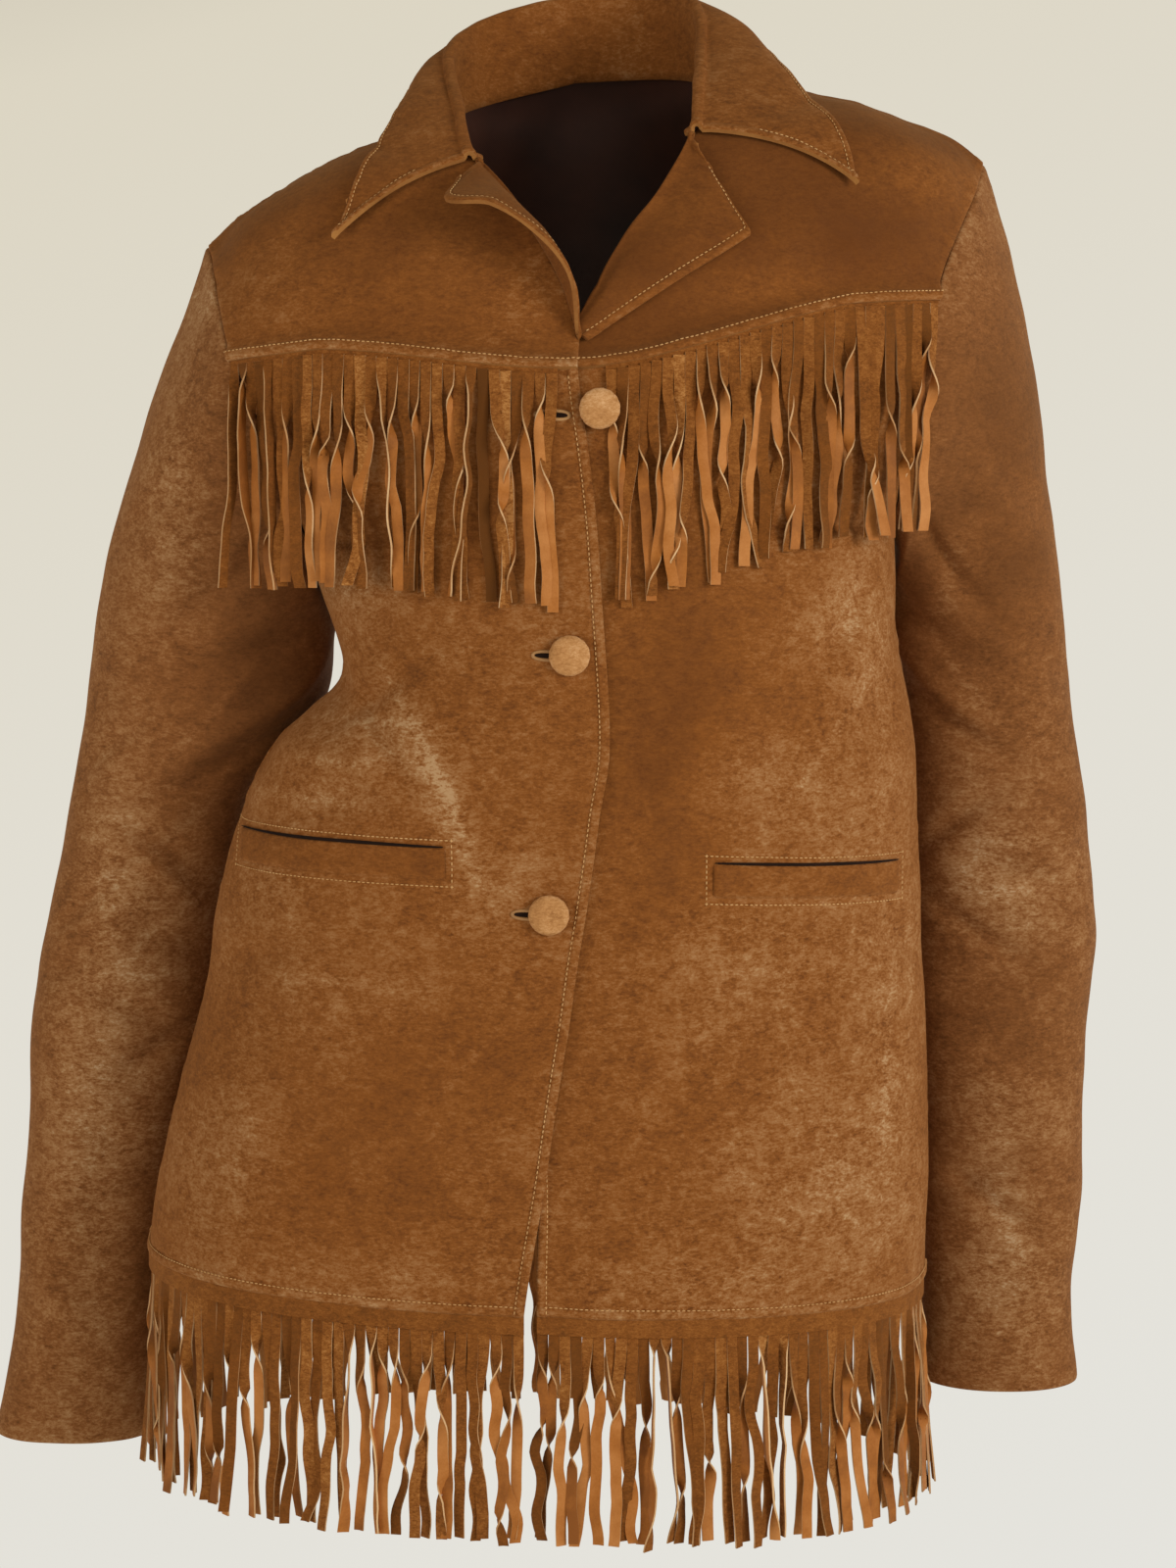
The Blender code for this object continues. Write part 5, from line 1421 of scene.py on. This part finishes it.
def strandPaths(roots, tangents, outwards, band, seed, depthAt, hanging):
    # centre line, width direction and nap direction of every strand
    rng = np.random.default_rng(seed)
    u = np.linspace(0, 1, fringeForm["steps"])
    strands = []
    for number in range(len(roots)):
        length = fringeForm["length"] + rng.normal(0, 0.0014) - band
        width = fringeForm["strandWidth"] * rng.uniform(0.90, 1.06)
        angle = np.radians(eased(turnStory(rng), u)) + np.radians(6) * np.sin(u * rng.uniform(5, 12)) * u
        drift = rng.normal(0, 0.0034)
        wave = rng.normal(0, 0.0013) * np.sin(u * rng.uniform(4, 8) + rng.uniform(0, 6)) * smooth(u * 3)
        wave = wave + rng.normal(0, 0.00045) * np.sin(u * rng.uniform(14, 24)) * smooth(u * 3)
        side = drift * u ** 1.3 + wave
        for place in np.sort(rng.uniform(0.18, 0.95, 4)):
            side = side + rng.normal(0, 0.011) * np.clip(u - place, 0.0, 0.10)
        if rng.uniform() < 0.13:
            bent = rng.uniform(0.6, 0.85)
            side = side + rng.choice([-1, 1]) * 0.006 * np.maximum(u - bent, 0) / (1 - bent)
        layer = (number * 7 % 3) * 0.0011 * smooth(u * 2.5) + rng.uniform(0, 0.0008)
        stand = 0.0012 + layer + 0.5 * width * np.abs(np.sin(angle)) * 0.9
        tangent, outward = tangents[number], outwards[number]
        flatTangent = unit(tangent * np.array([1.0, 1.0, 0.0]))
        centre = roots[number] + flatTangent * side[:, None]
        centre = centre + np.array([0.0, 0.0, -1.0]) * (u * length)[:, None]
        if hanging:
            sway = rng.normal(0.0, 0.0035) * u ** 1.5
            centre = centre + outward * (sway + (layer - 0.0011) * 1.3)[:, None]
        else:
            face = -1.0 if outward[1] < 0 else 1.0
            bare = np.array([depthAt(point[0], point[2], face, roots[number][1]) for point in centre])
            reached = np.maximum.accumulate(bare * face) * face
            kernel = np.ones(5) / 5.0
            padded = np.concatenate([[reached[0]] * 2, reached, [reached[-1]] * 2])
            centre[:, 1] = np.convolve(padded, kernel, mode="valid") + face * stand
        across = flatTangent * np.cos(angle)[:, None] + outward * np.sin(angle)[:, None]
        nap = outward * np.cos(angle)[:, None] - flatTangent * np.sin(angle)[:, None]
        cup = rng.normal(0, 0.00035) * (1 - 0.4 * u)
        strands.append((centre, across, nap, width, cup, rng.normal(0, 0.50)))
    return strands


def strandMesh(strands):
    points, quads, slots, tones = [], [], [], []
    half = fringeForm["thick"] / 2
    start = 0
    for centre, across, nap, width, cup, tone in strands:
        w, c = width / 2, np.asarray(cup)[:, None]
        loop = np.stack([
            centre - across * w + nap * half, centre + nap * (half + c), centre + across * w + nap * half,
            centre + across * w - nap * half, centre + nap * (c - half), centre - across * w - nap * half,
        ], axis=1)
        count = len(centre)
        index = start + np.arange(count * 6).reshape(count, 6)
        beside = np.roll(index, -1, axis=1)
        side = np.stack([index[:-1], beside[:-1], beside[1:], index[1:]], axis=-1)
        quads.append(side.reshape(-1, 4))
        slots.append(np.tile([0, 0, 2, 1, 1, 2], count - 1))
        for end, order in ((index[0], (0, 5, 4, 1)), (index[0], (1, 4, 3, 2)),
                           (index[-1], (0, 1, 4, 5)), (index[-1], (1, 2, 3, 4))):
            quads.append(end[list(order)][None])
            slots.append([2])
        points.append(loop.reshape(-1, 3))
        tones.append(np.full(count * 6, tone))
        start += count * 6
    return np.concatenate(points), np.concatenate(quads), np.concatenate(slots), np.concatenate(tones)


def bandStrands(line, outwards, height, tone):
    # the uncut head above the cuts, laid on as one wide strap
    down = np.array([0.0, 0.0, -1.0])
    centre = line + down * height / 2
    across = np.broadcast_to(down, centre.shape)
    return (centre, across, outwards, height + 0.0006, np.zeros(len(centre)), tone)


def fringePiece(name, node, line, seed, band, depthAt=None, hanging=False):
    roots, tangents, length = lineThrough(line, fringeForm["pitch"])
    outwards = unit(np.cross(tangents, np.array([0.0, 0.0, -1.0])))
    lineTangent = unit(np.gradient(line, axis=0))
    lineOut = unit(np.cross(lineTangent, np.array([0.0, 0.0, -1.0])))
    facing = -1.0 if line[:, 1].mean() < 0 else 1.0
    if outwards[:, 1].mean() * facing < 0:
        outwards, lineOut = -outwards, -lineOut
    roots = roots + np.array([0.0, 0.0, -band])
    strands = strandPaths(roots, tangents, outwards, band, seed, depthAt, hanging)
    strands.append(bandStrands(line + lineOut * 0.0006, lineOut, band, 0.0))
    points, quads, slots, tones = strandMesh(strands)
    piece = meshPiece(name, points, quads, slots, [strandNap, strandHide, strandEdge], np.ones(len(quads)),
                      {"tone": tones})
    work = bmesh.new()
    work.from_mesh(piece.data)
    bmesh.ops.recalc_face_normals(work, faces=work.faces)
    for edge in work.edges:
        if len({face.material_index for face in edge.link_faces}) > 1:
            edge.smooth = False
    work.to_mesh(piece.data)
    work.free()
    register(piece, node)


underFringe = surfaceTree(["frontRight", "frontLeft", "backBody", "sleeveRight", "sleeveLeft"])


def hungDepth(x, z, face, fallback):
    found = depthOn(underFringe, x, z, face)
    if found is None or abs(found - fallback) > 0.05:
        return fallback
    return min(found, fallback + 0.010) if face < 0 else max(found, fallback - 0.010)


def yokeLine(yokeName, clearOf=0.0):
    # just under the folded lower edge of a yoke, on the cloth below it, clear of the front edge
    grid = surfaces[yokeName][0][0].copy()
    grid = grid[runOf(grid) >= clearOf]
    face = -1.0 if grid[:, 1].mean() < 0 else 1.0
    grid[:, 2] += 0.0022
    grid[:, 1] += face * 0.0006
    return grid


def hemLine(name):
    grid = surfaces[name][0][0].copy()
    grid[:, 2] += 0.0015
    towards = unit((np.array([-0.030, -0.010, 0.0]) - grid) * np.array([1.0, 1.0, 0.0]))
    return grid + towards * 0.0012


# side, yoke above and how far it starts from the front edge, panel above at the hem, seeds of the two
fringeSides = [
    ("Right", "yokeFrontRight", 0.0062, "frontRight", 201, 211),
    ("Left", "yokeFrontLeft", 0.0200, "frontLeft", 202, 212),
    ("Back", "yokeBack", 0.0, "backBody", 203, 213),
]
for side, yoke, clearOf, _, seed, _ in fringeSides:
    node = "fringe_yoke_" + side.lower()
    fringePiece("fringeYoke" + side, node, yokeLine(yoke, clearOf), seed, fringeForm["yokeBand"],
                hungDepth)
for side, _, _, panel, _, seed in fringeSides:
    node = "fringe_hem_" + side.lower()
    fringePiece("fringeHem" + side, node, hemLine(panel), seed, fringeForm["hemBand"], hanging=True)
print("fringes made")


# topstitching

stitchForm = {"pitch": 0.0026, "length": 0.0019, "radius": 0.00034, "weltMargin": 0.0034}


def threadMaterial(name, dark, pale):
    # polyester thread: small plies twisted along each stitch, low gloss
    material, tree, shader, place = newMaterial(name)
    ply = noiseOf(tree, place, 2400.0, 2.0)
    both = multiplyAdd(tree, ply, 0.4, noiseOf(tree, place, 40.0, 2.0))
    tree.links.new(rampOf(tree, both, [(0.35, dark), (0.95, pale)]), shader.inputs["Base Color"])
    shader.inputs["Roughness"].default_value = 0.6
    tree.links.new(bumpOf(tree, ply, 0.4, 0.00008), shader.inputs["Normal"])
    return material


thread = threadMaterial("threadTanPoly", "#b58449", "#dcb27a")          # tan topstitching
threadDark = threadMaterial("threadBrownPoly", "#8a5f34", "#b98d5a")    # browner buttonhole twist


def stitchTree():
    # curve in, one small rounded stitch at every pitch along it out
    tree = bpy.data.node_groups.new("stitchRun", "GeometryNodeTree")
    sockets = {}
    tree.interface.new_socket("Geometry", in_out="INPUT", socket_type="NodeSocketGeometry")
    for key in ("pitch", "length", "radius"):
        socket = tree.interface.new_socket(key, in_out="INPUT", socket_type="NodeSocketFloat")
        sockets[key] = socket.identifier
    tree.interface.new_socket("Geometry", in_out="OUTPUT", socket_type="NodeSocketGeometry")
    entry = addNode(tree, "NodeGroupInput")
    run = addNode(tree, "GeometryNodeCurveToPoints", {"mode": "LENGTH"},
                  {"Curve": entry.outputs["Geometry"], "Length": entry.outputs["pitch"]})
    turn = addNode(tree, "FunctionNodeAlignRotationToVector", {"axis": "Z"},
                   {"Vector": run.outputs["Tangent"]})
    bead = addNode(tree, "GeometryNodeMeshUVSphere", {"Segments": 6, "Rings": 4, "Radius": 1.0})
    halfLength = addNode(tree, "ShaderNodeMath", {"operation": "MULTIPLY", 1: 0.5},
                         {0: entry.outputs["length"]})
    size = addNode(tree, "ShaderNodeCombineXYZ", {},
                   {"X": entry.outputs["radius"], "Y": entry.outputs["radius"], "Z": halfLength.outputs[0]})
    placed = addNode(tree, "GeometryNodeInstanceOnPoints", {}, {"Points": run.outputs["Points"],
                     "Instance": bead.outputs["Mesh"], "Rotation": turn.outputs["Rotation"],
                     "Scale": size.outputs["Vector"]})
    real = addNode(tree, "GeometryNodeRealizeInstances", {}, {"Geometry": placed.outputs["Instances"]})
    rounded = addNode(tree, "GeometryNodeSetShadeSmooth", {}, {"Geometry": real.outputs["Geometry"]})
    finished = addNode(tree, "GeometryNodeSetMaterial", {"Material": thread},
                       {"Geometry": rounded.outputs["Geometry"]})
    addNode(tree, "NodeGroupOutput", {}, {"Geometry": finished.outputs["Geometry"]})
    return tree, sockets


def lineAt(name, edge, offset, lift=0.00025, trim=0.0):
    # the line that runs at a set distance inside one edge of a piece
    grid, outer, normals, _ = surfaces[name]
    gap = distanceFrom(grid, edge)
    if edge in ("left", "right"):
        gap, outer, normals = gap.T, np.swapaxes(outer, 0, 1), np.swapaxes(normals, 0, 1)
    if edge in ("last", "right"):
        gap, outer, normals = gap[::-1], outer[::-1], normals[::-1]
    lifted = outer + normals * lift
    line = []
    for column in range(gap.shape[1]):
        if gap[-1, column] < offset:
            continue
        line.append([np.interp(offset, gap[:, column], lifted[:, column, axis]) for axis in range(3)])
    line = np.array(line)
    run = runOf(line)
    keep = (run >= trim) & (run <= run[-1] - trim)
    return line[keep]


stitchLines = [
    lineAt("frontRight", "left", 0.0050, trim=0.003), lineAt("frontLeft", "left", 0.0050, trim=0.003),
    lineAt("frontRight", "first", 0.0050, trim=0.005), lineAt("frontLeft", "first", 0.0050, trim=0.005),
    lineAt("backBody", "first", 0.0050, trim=0.001),
    lineAt("yokeFrontRight", "first", 0.0050), lineAt("yokeFrontLeft", "first", 0.0050),
    lineAt("yokeBack", "first", 0.0050),
    lineAt("collarLeaf", "right", 0.0047, trim=0.004),
    lineAt("lapelLeft", "right", 0.0047, trim=0.004), lineAt("lapelRight", "right", 0.0047, trim=0.004),
]
for end in ("first", "last"):
    line = lineAt("collarLeaf", end, 0.0047)
    run = runOf(line)
    stitchLines.append(line[(run > run[-1] * 0.42) & (run < run[-1] - 0.004)])


frontsTree = surfaceTree(["frontRight", "frontLeft"])


def weltStitches(welt):
    # the stitched box round a pocket, a set margin outside the welt
    outer, inner = welt["ends"]
    margin = stitchForm["weltMargin"]
    share = margin / abs(outer - inner)
    top = [(k, -margin) for k in np.linspace(-share, 1 + share, 60)]
    foot = [(k, welt["height"] + margin) for k in np.linspace(1 + share, -share, 60)]
    left = [(1 + share, k) for k in np.linspace(-margin, welt["height"] + margin, 14)]
    right = [(-share, k) for k in np.linspace(welt["height"] + margin, -margin, 14)]
    lines = []
    for side in (top, left, foot, right):
        places = np.array(side)
        points = weltPoints(welt, places[:, 0], places[:, 1], 0.0)
        for point in points:
            point[1] = depthOr(frontsTree, point[0], point[2], point[1]) - 0.0002
        lines.append(points)
    return lines


for welt in (weltRight, weltLeft):
    stitchLines += weltStitches(welt)


def stitchPiece(name, lines, form):
    curve = bpy.data.curves.new(name + "Path", "CURVE")
    curve.dimensions = "3D"
    for line in lines:
        spline = curve.splines.new("POLY")
        spline.points.add(len(line) - 1)
        spline.points.foreach_set("co", np.concatenate([line, np.ones((len(line), 1))], axis=1).ravel())
    path = bpy.data.objects.new(name + "Path", curve)
    bpy.context.collection.objects.link(path)
    tree, sockets = stitchTree()
    modifier = path.modifiers.new("stitchRun", "NODES")
    modifier.node_group = tree
    for key, identifier in sockets.items():
        modifier[identifier] = form[key]
    evaluated = path.evaluated_get(bpy.context.evaluated_depsgraph_get())
    mesh = bpy.data.meshes.new_from_object(evaluated)
    mesh.name = name
    bpy.data.objects.remove(path, do_unlink=True)
    piece = bpy.data.objects.new(name, mesh)
    if not mesh.materials:
        mesh.materials.append(thread)
    bpy.context.collection.objects.link(piece)
    register(piece, None)


stitchPiece("topstitching", stitchLines, stitchForm)
print("topstitching made")


# buttonholes

# middle x and height of each slit, half its length
buttonholes = [(-0.0235, -0.1775, 0.0085), (-0.0232, -0.2965, 0.0100), (-0.0337, -0.4260, 0.0100)]
buttonholeForm = {"turns": 72, "tube": 8, "wrap": 0.00095, "halfHeight": 0.0021, "slope": -0.03,
                  "depth": -0.13}
upperFront = surfaceTree(["frontRight"])


def workedEdge(number, middleX, height, halfLength):
    # the ring of thread wrapped round the slit
    count, ringCount, slope = buttonholeForm["turns"], buttonholeForm["tube"], buttonholeForm["slope"]
    forward = np.array([0, -1.0, 0])
    points = []
    for turn in np.linspace(0, 2 * math.pi, count, endpoint=False):
        across = halfLength * np.sign(math.cos(turn)) * abs(math.cos(turn)) ** 0.55
        upward = buttonholeForm["halfHeight"] * math.sin(turn)
        x, z = middleX + across, height + upward + slope * across
        place = np.array([x, depthOr(upperFront, x, z, buttonholeForm["depth"]), z])
        out = np.array([math.cos(turn), 0.0, math.sin(turn)])
        wrap = buttonholeForm["wrap"] + 0.00016 * math.sin(turn * 36.0)
        for angle in np.linspace(0, 2 * math.pi, ringCount, endpoint=False):
            points.append(place + wrap * (out * math.cos(angle) + forward * math.sin(angle)))
    ring, first = np.arange(ringCount), (count - 1) * ringCount
    beside = (ring + 1) % ringCount
    faces = np.concatenate([gridQuads(count, ringCount, True),
                            np.stack([first + ring, first + beside, beside, ring], axis=-1)])
    piece = meshPiece("buttonholeWorked%d" % number, np.array(points), faces, np.zeros(len(faces)),
                      [threadDark], np.ones(len(faces)), {"tone": np.full(len(points), 0.3)})
    register(piece, None)


def paintedShadeSlit(number, middleX, height, halfLength):
    # a near-black sheet just over the front along the slit: painted shade for the opening
    slit = []
    for row in np.linspace(-1, 1, 5):
        line = []
        for column in np.linspace(-1, 1, 25):
            opened = row * 0.0012 * math.sqrt(max(1 - column ** 4, 0.05))
            across = column * halfLength
            x, z = middleX + across, height + opened + buttonholeForm["slope"] * across
            line.append([x, depthOr(upperFront, x, z, buttonholeForm["depth"]) - 0.00015, z])
        slit.append(line)
    slit = np.array(slit)
    plain = np.zeros(slit.shape[:2])
    gap = clothShell("buttonholeSlit%d" % number, slit, plain, plain, 0.0006, middle, [pocketPaintedShade] * 3)
    register(gap, None)


for number, values in enumerate(buttonholes):
    workedEdge(number, *values)
    paintedShadeSlit(number, *values)
print("buttonholes made")


# stage, light and camera

stageValues = {"floor": "#e4dfd3", "floorCloud": "#e9e5da", "floorHeight": -1.45, "floorRadius": 1.3}
cameraValues = {"lens": 66.6, "sensor": 36.0, "place": (-0.0058, -1.575, -0.217), "tippedDown": 5.69}


def plainMaterial(name, colour):
    material, tree, shader, place = newMaterial(name)
    cloud = noiseOf(tree, place, 3.0, 2.0)
    stops = [(0.2, colour), (0.9, stageValues["floorCloud"])]
    tree.links.new(rampOf(tree, cloud, stops), shader.inputs["Base Color"])
    shader.inputs["Roughness"].default_value = 0.95
    return material


turns = np.linspace(0, 2 * math.pi, 65)[:-1]
circle = np.stack([np.cos(turns), np.sin(turns), 0 * turns], axis=-1) * stageValues["floorRadius"]
floorPoints = np.concatenate([[[0.0, 0.0, 0.0]], circle])
floorPoints[:, 2] += stageValues["floorHeight"]
floorMesh = bpy.data.meshes.new("floor")
floorMesh.from_pydata(floorPoints.tolist(), [], [(0, 1 + i, 1 + (i + 1) % 64) for i in range(64)])
floorMesh.materials.append(plainMaterial("floorPlainPale", stageValues["floor"]))
floor = bpy.data.objects.new("floor", floorMesh)
bpy.context.collection.objects.link(floor)

world = bpy.data.worlds.new("paleRoom")
bpy.context.scene.world = world
world.use_nodes = True
backdrop = world.node_tree.nodes["Background"]
# a pale room: dim above, even at eye level, a little brighter to the window side
around = addNode(world.node_tree, "ShaderNodeTexCoord").outputs["Generated"]
split = addNode(world.node_tree, "ShaderNodeSeparateXYZ", {}, {"Vector": around})
slant = multiplyAdd(world.node_tree, split.outputs["X"], -0.30, split.outputs["Z"])
level = addNode(world.node_tree, "ShaderNodeMapRange", {"From Min": -0.5, "From Max": 1.0}, {"Value": slant})
shade = rampOf(world.node_tree, level.outputs[0],
               [(0.0, "#e6e5e0"), (0.28, "#e2ded3"), (0.46, "#dcd5c3"), (0.64, "#9d9482"), (1.0, "#6c665b")])
world.node_tree.links.new(shade, backdrop.inputs["Color"])
backdrop.inputs["Strength"].default_value = 1.0


def softLight(name, place, target, size, power, colour):
    light = bpy.data.lights.new(name, "AREA")
    light.shape = "DISK"
    light.size = size
    light.energy = power
    light.color = linear(colour)[:3]
    holder = bpy.data.objects.new(name, light)
    holder.location = place
    aim = Vector(target) - Vector(place)
    holder.rotation_euler = aim.to_track_quat("-Z", "Y").to_euler()
    bpy.context.collection.objects.link(holder)


softLight("windowLight", (1.7, -1.7, 0.15), (0.0, 0.0, -0.40), 0.9, 26.0, "#fff6e8")
softLight("roomFill", (-1.9, -1.3, -0.2), (0.0, 0.0, -0.40), 1.2, 12.0, "#fff1dc")

camera = bpy.data.cameras.new("camera")
camera.lens = cameraValues["lens"]
camera.sensor_width = cameraValues["sensor"]
camera.sensor_fit = "AUTO"
cameraHolder = bpy.data.objects.new("camera", camera)
cameraHolder.location = cameraValues["place"]
cameraHolder.rotation_euler = (math.radians(90.0 - cameraValues["tippedDown"]), 0.0, 0.0)
bpy.context.collection.objects.link(cameraHolder)
bpy.context.scene.camera = cameraHolder
bpy.context.scene.view_settings.view_transform = "Standard"
print("stage, light and camera set")
